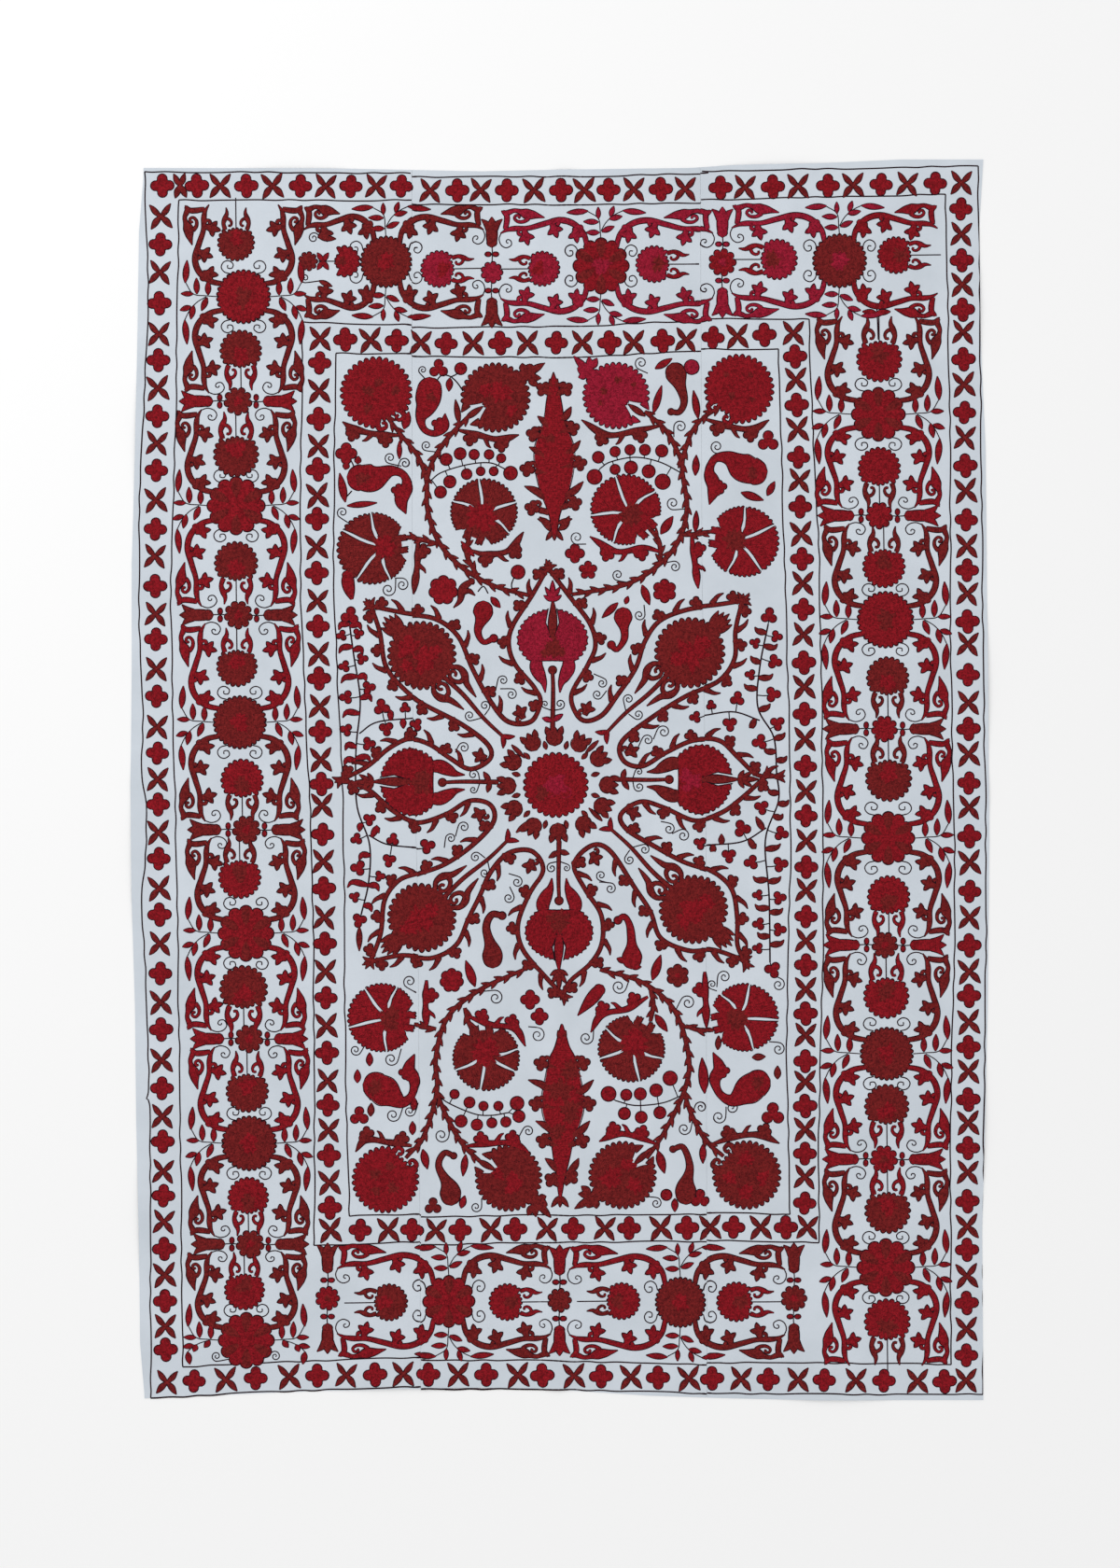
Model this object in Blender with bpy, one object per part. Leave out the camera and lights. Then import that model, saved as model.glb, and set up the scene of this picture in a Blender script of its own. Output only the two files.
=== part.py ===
"""Suzani: an embroidered cotton cloth of three loom-width panels sewn edge to edge.

It lies face up on the surface. Metres, +Z up, +Y towards the cloth's head, +X to its right.
The origin is under the middle of its outline, on the surface it lies on.
"""

import bmesh
import bpy

CM = 0.01
MM = 0.001

# Driving sizes of the whole cloth
HALF_HEIGHT = 110.5 * CM
THICKNESS = 1.5 * MM
SEAM_GAP = 0.3 * MM

# The long sides and the two sewn seams, as x in cm for heights y in cm
Y_CM, X_CM = 0, 1
LEFT_SIDE = [
    (-110.2, -74.0),
    (-100.5, -74.8),
    (-80.6, -75.0),
    (-60.6, -75.5),
    (-40.7, -75.7),
    (-20.7, -76.3),
    (-0.7, -76.5),
    (19.2, -76.3),
    (39.2, -76.3),
    (59.1, -75.7),
    (79.1, -75.3),
    (99.0, -75.0),
    (109.0, -74.2),
]
RIGHT_SIDE = [
    (-110.5, 75.4),
    (-80.6, 75.2),
    (-60.6, 75.7),
    (-40.7, 76.2),
    (-10.7, 76.5),
    (19.2, 76.2),
    (39.2, 76.0),
    (59.1, 75.8),
    (79.1, 74.9),
    (99.0, 74.7),
    (110.5, 75.4),
]
LEFT_SEAM = [(-110.0, -24.8), (-24.0, -25.3), (15.9, -26.3), (110.0, -26.4)]
RIGHT_SEAM = [(-110.0, 26.2), (-5.7, 26.0), (37.5, 25.3), (110.0, 25.0)]

# The head and the foot edge, as y in cm for places x in cm
HEAD_EDGE = [
    (-74.5, 109.0),
    (-40.0, 108.9),
    (-14.1, 108.4),
    (0.8, 108.7),
    (23.3, 109.0),
    (30.8, 109.5),
    (45.7, 109.8),
    (60.7, 110.5),
    (75.4, 110.5),
]
FOOT_EDGE = [
    (-74.0, -110.2),
    (-59.0, -109.5),
    (-44.1, -108.9),
    (-29.1, -108.5),
    (-14.1, -108.3),
    (0.8, -108.7),
    (15.8, -109.7),
    (30.8, -110.2),
    (45.7, -110.5),
    (75.4, -110.5),
]

# Soft ridges left by folding: both ends, half the width and the height, in cm
CREASES = [
    {"from": (0.9, 109.0), "to": (-0.9, -2.0), "half_width": 3.4, "height": 0.22},
    {"from": (-0.9, -2.0), "to": (-0.3, -109.0), "half_width": 3.4, "height": 0.20},
    {"from": (-76.0, -1.5), "to": (-26.0, 0.5), "half_width": 5.0, "height": 0.13},
    {"from": (-26.0, 0.5), "to": (26.0, -0.5), "half_width": 5.0, "height": 0.10},
    {"from": (26.0, -0.5), "to": (76.0, -2.5), "half_width": 5.0, "height": 0.14},
    {"from": (-60.0, 30.0), "to": (-48.0, -64.0), "half_width": 5.0, "height": 0.12},
    {"from": (54.0, 71.0), "to": (61.0, -52.0), "half_width": 5.0, "height": 0.12},
]

# Places where an edge stands a little off the surface: middle, reach and height, in cm
LIFTS = [
    {"at": (-76.0, 61.0), "reach": (6.0, 13.0), "height": 0.34},
    {"at": (-76.5, -14.0), "reach": (5.5, 16.0), "height": 0.30},
    {"at": (-75.0, -78.0), "reach": (6.0, 12.0), "height": 0.36},
    {"at": (75.5, 84.0), "reach": (5.5, 12.0), "height": 0.30},
    {"at": (76.5, 17.0), "reach": (6.0, 15.0), "height": 0.36},
    {"at": (76.0, -62.0), "reach": (5.5, 14.0), "height": 0.32},
    {"at": (-47.0, 109.0), "reach": (12.0, 5.5), "height": 0.32},
    {"at": (39.0, 109.6), "reach": (13.0, 5.5), "height": 0.34},
    {"at": (-30.0, -108.5), "reach": (13.0, 5.0), "height": 0.30},
    {"at": (49.0, -110.5), "reach": (12.0, 5.5), "height": 0.34},
]

# Each panel's two long sides, whether each is a seam, and how its width is shared out.
# The middle panel has close steps at the fold down the cloth's middle.
PANELS = {
    "panel_left": {
        "left": LEFT_SIDE,
        "left_is_seam": False,
        "right": LEFT_SEAM,
        "right_is_seam": True,
        "steps": [0.0, 0.05, 0.11, 0.2, 0.31, 0.42, 0.53, 0.64, 0.76, 0.88, 1.0],
    },
    "panel_middle": {
        "left": LEFT_SEAM,
        "left_is_seam": True,
        "right": RIGHT_SEAM,
        "right_is_seam": True,
        "steps": [0.0, 0.12, 0.24, 0.36, 0.43, 0.47, 0.5, 0.53, 0.57, 0.64, 0.76, 0.88, 1.0],
    },
    "panel_right": {
        "left": RIGHT_SEAM,
        "left_is_seam": True,
        "right": RIGHT_SIDE,
        "right_is_seam": False,
        "steps": [0.0, 0.12, 0.24, 0.36, 0.47, 0.58, 0.69, 0.8, 0.89, 0.95, 1.0],
    },
}
ROWS = 48

COTTON = (0.66, 0.71, 0.77, 1.0)
COTTON_ROUGHNESS = 0.9
SHARP_EDGE_ANGLE = 0.6
UNIT_GRID_HALF = 0.5


def clear_scene():
    """Remove what a new scene holds."""
    for obj in list(bpy.data.objects):
        bpy.data.objects.remove(obj, do_unlink=True)


def along(table, place):
    """Value of a table at a place in metres: straight between its rows, level past its ends."""
    wanted = place / CM
    if wanted <= table[0][0]:
        return table[0][1] * CM
    for (low, low_value), (high, high_value) in zip(table, table[1:]):
        if wanted <= high:
            share = (wanted - low) / (high - low)
            return (low_value + (high_value - low_value) * share) * CM
    return table[-1][1] * CM


def soft_bump(distance):
    """1 at the middle, falling smoothly to 0 at a distance of 1 and beyond."""
    return (1 - distance * distance) ** 2 if distance < 1 else 0.0


def distance_to_run(x, y, start, end):
    """Distance in cm from a place to the straight run between two points."""
    run_x, run_y = end[0] - start[0], end[1] - start[1]
    length_squared = run_x * run_x + run_y * run_y
    share = ((x - start[0]) * run_x + (y - start[1]) * run_y) / length_squared
    share = min(max(share, 0.0), 1.0)
    off_x = x - start[0] - share * run_x
    off_y = y - start[1] - share * run_y
    return (off_x * off_x + off_y * off_y) ** 0.5


def relief(x, y):
    """Height of the underside over the surface at a place, all in metres."""
    x, y = x / CM, y / CM
    highest = 0.0
    for crease in CREASES:
        off = distance_to_run(x, y, crease["from"], crease["to"])
        highest = max(highest, crease["height"] * soft_bump(off / crease["half_width"]))
    for lift in LIFTS:
        off_x = (x - lift["at"][0]) / lift["reach"][0]
        off_y = (y - lift["at"][1]) / lift["reach"][1]
        off = (off_x * off_x + off_y * off_y) ** 0.5
        highest = max(highest, lift["height"] * soft_bump(off))
    return highest * CM


def place_on_panel(panel, across, up):
    """x and y of a place on a panel, from its shares of the panel's width and height."""
    level = -HALF_HEIGHT + 2 * HALF_HEIGHT * up
    left = along(panel["left"], level) + SEAM_GAP / 2 * panel["left_is_seam"]
    right = along(panel["right"], level) - SEAM_GAP / 2 * panel["right_is_seam"]
    x = left + (right - left) * across
    foot = along(FOOT_EDGE, x)
    head = along(HEAD_EDGE, x)
    return x, foot + (head - foot) * up


def cloth_material():
    """White cotton."""
    material = bpy.data.materials.new("cotton")
    material.use_nodes = True
    shader = material.node_tree.nodes["Principled BSDF"]
    shader.inputs["Base Color"].default_value = COTTON
    shader.inputs["Roughness"].default_value = COTTON_ROUGHNESS
    shader.inputs["Metallic"].default_value = 0.0
    return material


def make_panel(name, panel, material):
    """One panel: a unit grid laid on the relief, then drawn up by the cloth's thickness."""
    shape = bmesh.new()
    columns = len(panel["steps"]) - 1
    bmesh.ops.create_grid(shape, x_segments=columns, y_segments=ROWS, size=UNIT_GRID_HALF)
    for vert in shape.verts:
        across = panel["steps"][round((vert.co.x + UNIT_GRID_HALF) * columns)]
        x, y = place_on_panel(panel, across, vert.co.y + UNIT_GRID_HALF)
        vert.co = (x, y, relief(x, y))
    extruded = bmesh.ops.extrude_face_region(shape, geom=list(shape.faces), use_keep_orig=True)
    raised = [item for item in extruded["geom"] if isinstance(item, bmesh.types.BMVert)]
    bmesh.ops.translate(shape, verts=raised, vec=(0.0, 0.0, THICKNESS))
    bmesh.ops.recalc_face_normals(shape, faces=shape.faces)
    mesh = bpy.data.meshes.new(name)
    shape.to_mesh(mesh)
    shape.free()
    mesh.materials.append(material)
    mesh.shade_smooth()
    mesh.set_sharp_from_angle(angle=SHARP_EDGE_ANGLE)
    bpy.context.scene.collection.objects.link(bpy.data.objects.new(name, mesh))


def make_cloth():
    """The three panels, side by side with the seams' gap between them."""
    clear_scene()
    material = cloth_material()
    for name, panel in PANELS.items():
        make_panel(name, panel, material)


make_cloth()
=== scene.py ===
"""Suzani laid flat: white cotton in three sewn panels, covered with chain-stitched flowers and vines."""

import math

import bmesh
import bpy
import numpy as np
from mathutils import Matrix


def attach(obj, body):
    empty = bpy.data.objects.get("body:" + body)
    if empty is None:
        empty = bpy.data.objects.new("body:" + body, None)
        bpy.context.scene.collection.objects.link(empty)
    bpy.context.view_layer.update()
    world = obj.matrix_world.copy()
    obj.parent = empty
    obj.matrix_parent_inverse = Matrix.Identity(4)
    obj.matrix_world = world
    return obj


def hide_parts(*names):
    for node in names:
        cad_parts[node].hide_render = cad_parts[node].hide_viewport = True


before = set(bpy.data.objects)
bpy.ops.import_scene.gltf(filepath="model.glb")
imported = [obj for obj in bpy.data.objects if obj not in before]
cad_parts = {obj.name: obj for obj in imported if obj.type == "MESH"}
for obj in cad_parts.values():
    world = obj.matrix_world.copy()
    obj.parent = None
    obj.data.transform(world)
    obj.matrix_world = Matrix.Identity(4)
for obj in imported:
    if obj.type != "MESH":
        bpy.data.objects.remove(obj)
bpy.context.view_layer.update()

CM = 0.01
MM = 0.001

# The pattern is drafted on the photograph's pixels, x to the right and y down.
# One of them is this wide on the cloth, and the frame's origin lies under this one.
PIXEL = 1.663 * MM
ORIGIN_X = 600.0
ORIGIN_Y = 835.5

# Real sizes of the cloth and of the thread's height on it
CLOTH_THICKNESS = 0.9 * MM
CLOTH_STEP = 9.5 * MM
LOOM_WIDTH = 51.0 * CM
LINE_HEIGHT = 0.42 * MM
FILL_HEIGHT = 0.80 * MM
LAYER_HEIGHT = 0.42 * MM
FOOT_DEPTH = 0.12 * MM

# Widths of dark thread on the draft, in pixels: round a filled shape, and alone
EDGE_WIDTH = 1.0
LINE_WIDTH = 1.7
FRAME_LINE_WIDTH = 2.0
FRAME_LINE_STEP = 7.0

# The outline of the cloth, as in its solids: x in cm for y in cm, then y in cm for x in cm
LEFT_SIDE = [
    (-110.2, -74.0), (-100.5, -74.8), (-80.6, -75.0), (-60.6, -75.5), (-40.7, -75.7), (-20.7, -76.3),
    (-0.7, -76.5), (19.2, -76.3), (39.2, -76.3), (59.1, -75.7), (79.1, -75.3), (99.0, -75.0),
    (109.0, -74.2),
]
RIGHT_SIDE = [
    (-110.5, 75.4), (-80.6, 75.2), (-60.6, 75.7), (-40.7, 76.2), (-10.7, 76.5), (19.2, 76.2),
    (39.2, 76.0), (59.1, 75.8), (79.1, 74.9), (99.0, 74.7), (110.5, 75.4),
]
LEFT_SEAM = [(-110.0, -24.8), (-24.0, -25.3), (15.9, -26.3), (110.0, -26.4)]
RIGHT_SEAM = [(-110.0, 26.2), (-5.7, 26.0), (37.5, 25.3), (110.0, 25.0)]
HEAD_EDGE = [
    (-74.5, 109.0), (-40.0, 108.9), (-14.1, 108.4), (0.8, 108.7), (23.3, 109.0), (30.8, 109.5),
    (45.7, 109.8), (60.7, 110.5), (75.4, 110.5),
]
FOOT_EDGE = [
    (-74.0, -110.2), (-59.0, -109.5), (-44.1, -108.9), (-29.1, -108.5), (-14.1, -108.3), (0.8, -108.7),
    (15.8, -109.7), (30.8, -110.2), (45.7, -110.5), (75.4, -110.5),
]
HALF_HEIGHT = 110.5 * CM
SEAM_GAP = 0.3 * MM
PANELS = {
    "left": (LEFT_SIDE, LEFT_SEAM),
    "middle": (LEFT_SEAM, RIGHT_SEAM),
    "right": (RIGHT_SEAM, RIGHT_SIDE),
}

# Soft ridges left by folding: both ends, half the width and the height, in cm
CREASES = [
    {"from": (0.9, 109.0), "to": (-0.9, -2.0), "half_width": 3.4, "height": 0.22},
    {"from": (-0.9, -2.0), "to": (-0.3, -109.0), "half_width": 3.4, "height": 0.20},
    {"from": (-76.0, -1.5), "to": (-26.0, 0.5), "half_width": 5.0, "height": 0.13},
    {"from": (-26.0, 0.5), "to": (26.0, -0.5), "half_width": 5.0, "height": 0.10},
    {"from": (26.0, -0.5), "to": (76.0, -2.5), "half_width": 5.0, "height": 0.14},
    {"from": (-60.0, 30.0), "to": (-48.0, -64.0), "half_width": 5.0, "height": 0.12},
    {"from": (54.0, 71.0), "to": (61.0, -52.0), "half_width": 5.0, "height": 0.12},
]
LIFTS = [
    {"at": (-76.0, 61.0), "reach": (6.0, 13.0), "height": 0.34},
    {"at": (-76.5, -14.0), "reach": (5.5, 16.0), "height": 0.30},
    {"at": (-75.0, -78.0), "reach": (6.0, 12.0), "height": 0.36},
    {"at": (75.5, 84.0), "reach": (5.5, 12.0), "height": 0.30},
    {"at": (76.5, 17.0), "reach": (6.0, 15.0), "height": 0.36},
    {"at": (76.0, -62.0), "reach": (5.5, 14.0), "height": 0.32},
    {"at": (-47.0, 109.0), "reach": (12.0, 5.5), "height": 0.32},
    {"at": (39.0, 109.6), "reach": (13.0, 5.5), "height": 0.34},
    {"at": (-30.0, -108.5), "reach": (13.0, 5.0), "height": 0.30},
    {"at": (49.0, -110.5), "reach": (12.0, 5.5), "height": 0.34},
]


# The pulls beside the seams: how far they reach, how close they are and sway, and how high
PUCKER_REACH = 3.0 * CM
PUCKER_PITCH = 0.62 * CM
PUCKER_SWAY = 3.1 * CM
PUCKER_HEIGHT = 0.5 * MM


# The lie of the cloth


def along(table, places):
    """Values of a table at places in metres, in metres."""
    rows = np.array(table)
    return np.interp(np.asarray(places) / CM, rows[:, 0], rows[:, 1]) * CM


def soft_bump(distance):
    """1 at the middle, falling smoothly to 0 at a distance of 1 and beyond."""
    return np.clip(1 - distance * distance, 0, None) ** 2


def relief(x, y):
    """Height of the underside over the surface at places in metres."""
    x, y = x / CM, y / CM
    highest = np.zeros_like(x)
    for crease in CREASES:
        (start_x, start_y), (end_x, end_y) = crease["from"], crease["to"]
        run_x, run_y = end_x - start_x, end_y - start_y
        share = ((x - start_x) * run_x + (y - start_y) * run_y) / (run_x**2 + run_y**2)
        share = np.clip(share, 0, 1)
        off = np.hypot(x - start_x - share * run_x, y - start_y - share * run_y)
        ridge = crease["height"] * soft_bump(off / crease["half_width"])
        highest = np.maximum(highest, ridge)
    for lift in LIFTS:
        off_x = (x - lift["at"][0]) / lift["reach"][0]
        off_y = (y - lift["at"][1]) / lift["reach"][1]
        highest = np.maximum(highest, lift["height"] * soft_bump(np.hypot(off_x, off_y)))
    return highest * CM


def puckers(x, y):
    """Height of the shallow pulls beside the two sewn seams, in metres."""
    height = np.zeros_like(x)
    for seam in (LEFT_SEAM, RIGHT_SEAM):
        off = (x - along(seam, y)) / PUCKER_REACH
        wave = 0.5 + 0.5 * np.sin(y / PUCKER_PITCH + 2.0 * np.sin(y / PUCKER_SWAY))
        height += PUCKER_HEIGHT * wave * soft_bump(off) * np.clip(np.abs(off) * 5, 0, 1)
    return height


def cloth_top(x, y):
    """Height of the cloth's face at places in metres."""
    return relief(x, y) + puckers(x, y) + CLOTH_THICKNESS


# Sewing tools: every stitched shape is a unit grid that is bent on to its place

UNIT_GRIDS = {}


def unit_grid(steps, lanes):
    """Each corner's step and lane on a plain grid, and the grid's faces."""
    if (steps, lanes) not in UNIT_GRIDS:
        shape = bmesh.new()
        bmesh.ops.create_grid(shape, x_segments=steps, y_segments=lanes, size=1.0)
        shape.verts.index_update()
        points = np.array([vert.co[:2] for vert in shape.verts])
        faces = np.array([[vert.index for vert in face.verts] for face in shape.faces])
        shape.free()
        counts = np.array([steps, lanes])
        places = np.rint((points + 1) / 2 * counts).astype(int)
        UNIT_GRIDS[steps, lanes] = places[:, 0], places[:, 1], faces
    return UNIT_GRIDS[steps, lanes]


def smooth(points, count):
    """A curve through points, as count points evenly spaced along it."""
    points = np.asarray(points, float)
    padded = np.vstack([2 * points[0] - points[1], points, 2 * points[-1] - points[-2]])
    share = np.linspace(0, 1, 9)[:-1, None]
    runs = []
    for before, start, end, after in zip(padded, padded[1:], padded[2:], padded[3:]):
        bend = 2 * start + (end - before) * share
        bend = bend + (2 * before - 5 * start + 4 * end - after) * share**2
        bend = bend + (3 * start - before - 3 * end + after) * share**3
        runs.append(bend / 2)
    curve = np.vstack([*runs, points[-1:]])
    travelled = travel(curve)
    wanted = np.linspace(0, travelled[-1], count)
    return np.column_stack([np.interp(wanted, travelled, curve[:, axis]) for axis in (0, 1)])


def travel(curve):
    """Distance along a curve at each of its points."""
    return np.concatenate([[0], np.cumsum(np.hypot(*np.diff(np.asarray(curve, float), axis=0).T))])


def heading(curve):
    """Unit vectors along a curve at each of its points."""
    ahead = np.gradient(curve, axis=0)
    return ahead / np.hypot(*ahead.T)[:, None]


def nearest(curve, x, y):
    """Which point of a curve lies nearest to a place."""
    return np.hypot(curve[:, 0] - x, curve[:, 1] - y).argmin()


def turn_from(foot, x, y):
    """The turn in degrees of a leaf at a place that grows away from its foot."""
    return math.degrees(math.atan2(foot[0] - x, foot[1] - y))


def sideways(ahead):
    """Unit vectors a quarter turn from the given ones."""
    ahead = ahead / np.maximum(np.hypot(*ahead.T), 1e-9)[:, None]
    return np.column_stack([-ahead[:, 1], ahead[:, 0]])


SEWN = {"red": [], "brown": [], "crimson": [], "dark": []}


def sew(thread, grid, height, stitch, layer):
    """Keep one shape: its grid of points in pixels, its heights in metres and its stitch rows in pixels."""
    steps, lanes, faces = unit_grid(grid.shape[0] - 1, grid.shape[1] - 1)
    raised = np.where(height > 0, height + layer * LAYER_HEIGHT, -FOOT_DEPTH)
    SEWN[thread].append((grid[steps, lanes], raised[steps, lanes], stitch[steps, lanes], faces))


def edged(outline, layer, edge=EDGE_WIDTH):
    """A sloping line of dark thread round a closed outline."""
    following, before = np.roll(outline, -1, axis=0), np.roll(outline, 1, axis=0)
    out = sideways(following - before)
    if np.sum(outline[:, 0] * following[:, 1] - outline[:, 1] * following[:, 0]) > 0:
        out = -out
    sides = np.array([-0.45, edge * 0.9])
    ring = outline[:, None, :] + out[:, None, :] * sides[:, None]
    ring = np.vstack([ring, ring[:1]])
    height = np.broadcast_to(LINE_HEIGHT * np.array([1.1, 0.0]), ring.shape[:2])
    stitch = np.stack(np.broadcast_arrays(travel(ring[:, 0])[:, None], sides), axis=-1)
    sew("dark", ring, height, stitch, layer)


def line(points, width=LINE_WIDTH, step=2.4):
    """A single line of dark chain stitch, half round."""
    curve = smooth(points, max(4, int(travel(points)[-1] / step)))
    across = sideways(np.gradient(curve, axis=0))
    offsets = np.full((len(curve), 1), width / 2) * np.array([-1.0, 0.0, 1.0])
    grid = curve[:, None, :] + across[:, None, :] * offsets[:, :, None]
    height = np.broadcast_to(LINE_HEIGHT * np.array([0.0, 1.0, 0.0]), offsets.shape)
    stitch = np.stack(np.broadcast_arrays(travel(curve)[:, None], offsets), axis=-1)
    sew("dark", grid, height, stitch, 0)


def eased(values, count):
    """Values at even steps along a row, smoothly joined."""
    values = np.asarray(values, float)
    if len(values) == 2:
        return np.linspace(*values, count)
    slopes = np.gradient(values)
    place = np.linspace(0, len(values) - 1, count)
    low = np.minimum(place.astype(int), len(values) - 2)
    share = place - low
    rise = values[low + 1] - values[low]
    bend = slopes[low] * (share - 2 * share**2 + share**3) + slopes[low + 1] * (share**3 - share**2)
    return values[low] + rise * (3 * share**2 - 2 * share**3) + bend


def ribbon(thread, points, widths, layer=0, edge=EDGE_WIDTH, step=2.4, blunt=False):
    """A filled shape along a curve, as wide as the widths say, with a dark edge and maybe a blunt start."""
    count = max(9, int(travel(points)[-1] / step))
    curve = smooth(points, count)
    half = np.maximum(eased(widths, count) / 2, 0.12)
    if blunt:
        run = travel(curve)
        cap = half.max() * 0.95
        inside = run < cap
        rounded = np.sqrt(run * (2 * cap - run).clip(0))[inside]
        half[inside] = np.maximum(rounded, 0.4).clip(max=half.max())
    across = sideways(np.gradient(curve, axis=0))
    if edge:
        side = across * half[:, None]
        edged(np.vstack([curve + side, (curve - side)[::-1]]), layer, edge)
    lanes = max(3, int(half.max() / 3.5) * 2 + 1)
    shares = np.array([-1.0, *np.linspace(-0.78, 0.78, lanes), 1.0])
    offsets = half[:, None] * shares
    grid = curve[:, None, :] + across[:, None, :] * offsets[:, :, None]
    full = np.clip(0.55 + half / 4.0, 0.0, 1.0)[:, None]
    height = FILL_HEIGHT * full * np.where(np.abs(shares) == 1, 0.0, 1 - 0.3 * shares**2)
    stitch = np.stack(np.broadcast_arrays(travel(curve)[:, None], offsets), axis=-1)
    sew(thread, grid, height, stitch, layer)


class Spot:
    """A place on the draft. Local points run right and up from it, turned, sized and maybe mirrored."""

    def __init__(self, x, y, turn=0.0, size=1.0, flip=1, stretch=1.0, widen=1.0):
        self.x, self.y, self.turn, self.size, self.flip = x, y, turn, size, flip
        self.stretch, self.widen = stretch, widen
        self.cos = math.cos(math.radians(turn)) * size
        self.sin = math.sin(math.radians(turn)) * size

    def __call__(self, points):
        local = np.asarray(points, float)
        right, up = local[..., 0] * self.flip * self.stretch, local[..., 1] * self.widen
        x = self.x + right * self.cos - up * self.sin
        y = self.y - right * self.sin - up * self.cos
        return np.stack([x, y], axis=-1)


def blob(thread, spot, radii, at=(0.0, 0.0), layer=0, edge=EDGE_WIDTH, squash=1.0, radial=False):
    """A filled shape round a middle. Its radii are at even turns from the right, against the clock."""
    angles = np.linspace(0, 2 * math.pi, len(radii), endpoint=False)
    local = np.column_stack([np.cos(angles) * radii, np.sin(angles) * radii * squash])
    middle = spot(np.array(at, float))
    outline = spot(local + np.array(at, float))
    closed = np.vstack([outline, outline[:1]]) - middle
    arc = travel(closed)
    span = np.hypot(*closed.T)
    inner = max(1.0 - 1.4 / max(float(span.mean()), 0.1), 0.35)
    between = max(2, int(span.mean() / 7.0) + 1)
    rings = np.array([*np.linspace(0.0, inner, between + 1), 1.0])
    grid = middle + closed[:, None, :] * rings[:, None]
    height = np.broadcast_to(FILL_HEIGHT * np.array([*[1.0] * between, 0.8, 0.0]), grid.shape[:2])
    if radial:
        stitch = np.stack(np.broadcast_arrays(span[:, None] * rings, arc[:, None] * 0.55), axis=-1)
    else:
        stitch = np.stack(np.broadcast_arrays(arc[:, None] * 0.7, span[:, None] * rings), axis=-1)
    sew(thread, grid, height, stitch, layer)
    if edge:
        edged(outline, layer, edge)


def scallops(count, radius, depth=0.08, per=6):
    """Radii of a disc with a scalloped rim."""
    angles = np.linspace(0, 2 * math.pi, count * per, endpoint=False)
    return radius * (1 - depth * (1 - np.abs(np.sin(angles * count / 2))))


def lobes(count, distance, lobe, per=10, core=0.5):
    """Radii of round lobes set about a middle, the first to the right."""
    angles = np.linspace(0, 2 * math.pi, count * per, endpoint=False)
    pitch = 2 * math.pi / count
    off = (angles + pitch / 2) % pitch - pitch / 2
    inside = lobe**2 - (distance * np.sin(off)) ** 2
    reach = distance * np.cos(off) + np.sqrt(np.clip(inside, 0, None))
    return np.where(inside > 0, reach, distance * core).clip(distance * core)


def tendril(start, middle, radius, hand=1, turns=1.5):
    """A thin stem that ends in a spiral round a middle. Hand is 1 against the clock on the draft."""
    start, middle = np.asarray(start, float), np.asarray(middle, float)
    away = start - middle
    distance = max(float(np.hypot(*away)), radius * 1.05)
    touch = math.atan2(away[1], away[0]) + hand * math.acos(radius / distance)
    angles = touch + hand * np.linspace(0, turns * 2 * math.pi, 16)
    radii = radius * np.linspace(1.0, 0.16, 16)
    coil = middle + np.column_stack([np.cos(angles) * radii, np.sin(angles) * radii])
    line(np.vstack([start, coil]), step=1.7)


# Motifs that many parts of the pattern share


def leaf(thread, base, tip, width, bow=0.0):
    """A pointed leaf between two points on the draft, bowed to one side."""
    base, tip = np.asarray(base, float), np.asarray(tip, float)
    run = tip - base
    side = np.array([-run[1], run[0]]) * bow
    points = [base, base + run * 0.45 + side, tip]
    ribbon(thread, points, [0.6, width * 0.85, width, width * 0.7, 0.2], step=2.2)


def quatrefoil(spot):
    """Four round petals."""
    blob("red", spot, lobes(4, 7.2, 5.3, per=9))


CROSS_LEAF = np.array([(-0.5, -0.5), (5.2, 5.0), (8.4, 9.4), (11.0, 12.6)])


def leaf_cross(spot):
    """Four curved leaves that meet in the middle."""
    for right, up in ((1, 1), (-1, 1), (-1, -1), (1, -1)):
        widths = np.array([1.6, 4.4, 5.7, 4.0, 0.2]) * spot.size * (1.0 if up > 0 else 1.12)
        ribbon("brown", spot(CROSS_LEAF * (right, up)), widths, step=1.9)


PATCH_LAYER = 0.55


def patch(thread, spot, at, radius, seed, layer=0):
    """A ragged spot of another colour worked into a flower, with no dark edge."""
    draw = np.random.default_rng(seed)
    angles = np.linspace(0, 2 * math.pi, 40, endpoint=False)
    waves = 0
    for times in (2, 3, 5, 9, 13):
        waves = waves + draw.uniform(0.06, 0.2) * np.sin(angles * times + draw.uniform(0, 6.3))
    blob(thread, spot, radius * (1 + waves), at, layer=layer + PATCH_LAYER, edge=0)


def off_by(angles, angle):
    """How many degrees each of some angles is off the given one."""
    return np.abs((angles - angle + 180) % 360 - 180)


def tipped(inner, tips, spread, power=1.15):
    """Radii with pointed tips, given as the angle in degrees and the radius of each."""
    angles = np.linspace(0, 360, 48, endpoint=False)
    radii = np.full(len(angles), inner)
    for angle, reach in tips:
        share = np.clip(1 - off_by(angles, angle) / spread, 0, 1) ** power
        radii = np.maximum(radii, inner + (reach - inner) * share)
    return radii


IVY = tipped(4.6, ((22, 9.6), (90, 10.4), (158, 9.6)), 40)
CLOUD = lobes(4, 4.7, 4.0, core=0.75)
TREFOIL = lobes(3, 3.6, 3.4, per=12, core=0.75)
TREFOIL_WIDTH = 14.0


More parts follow.
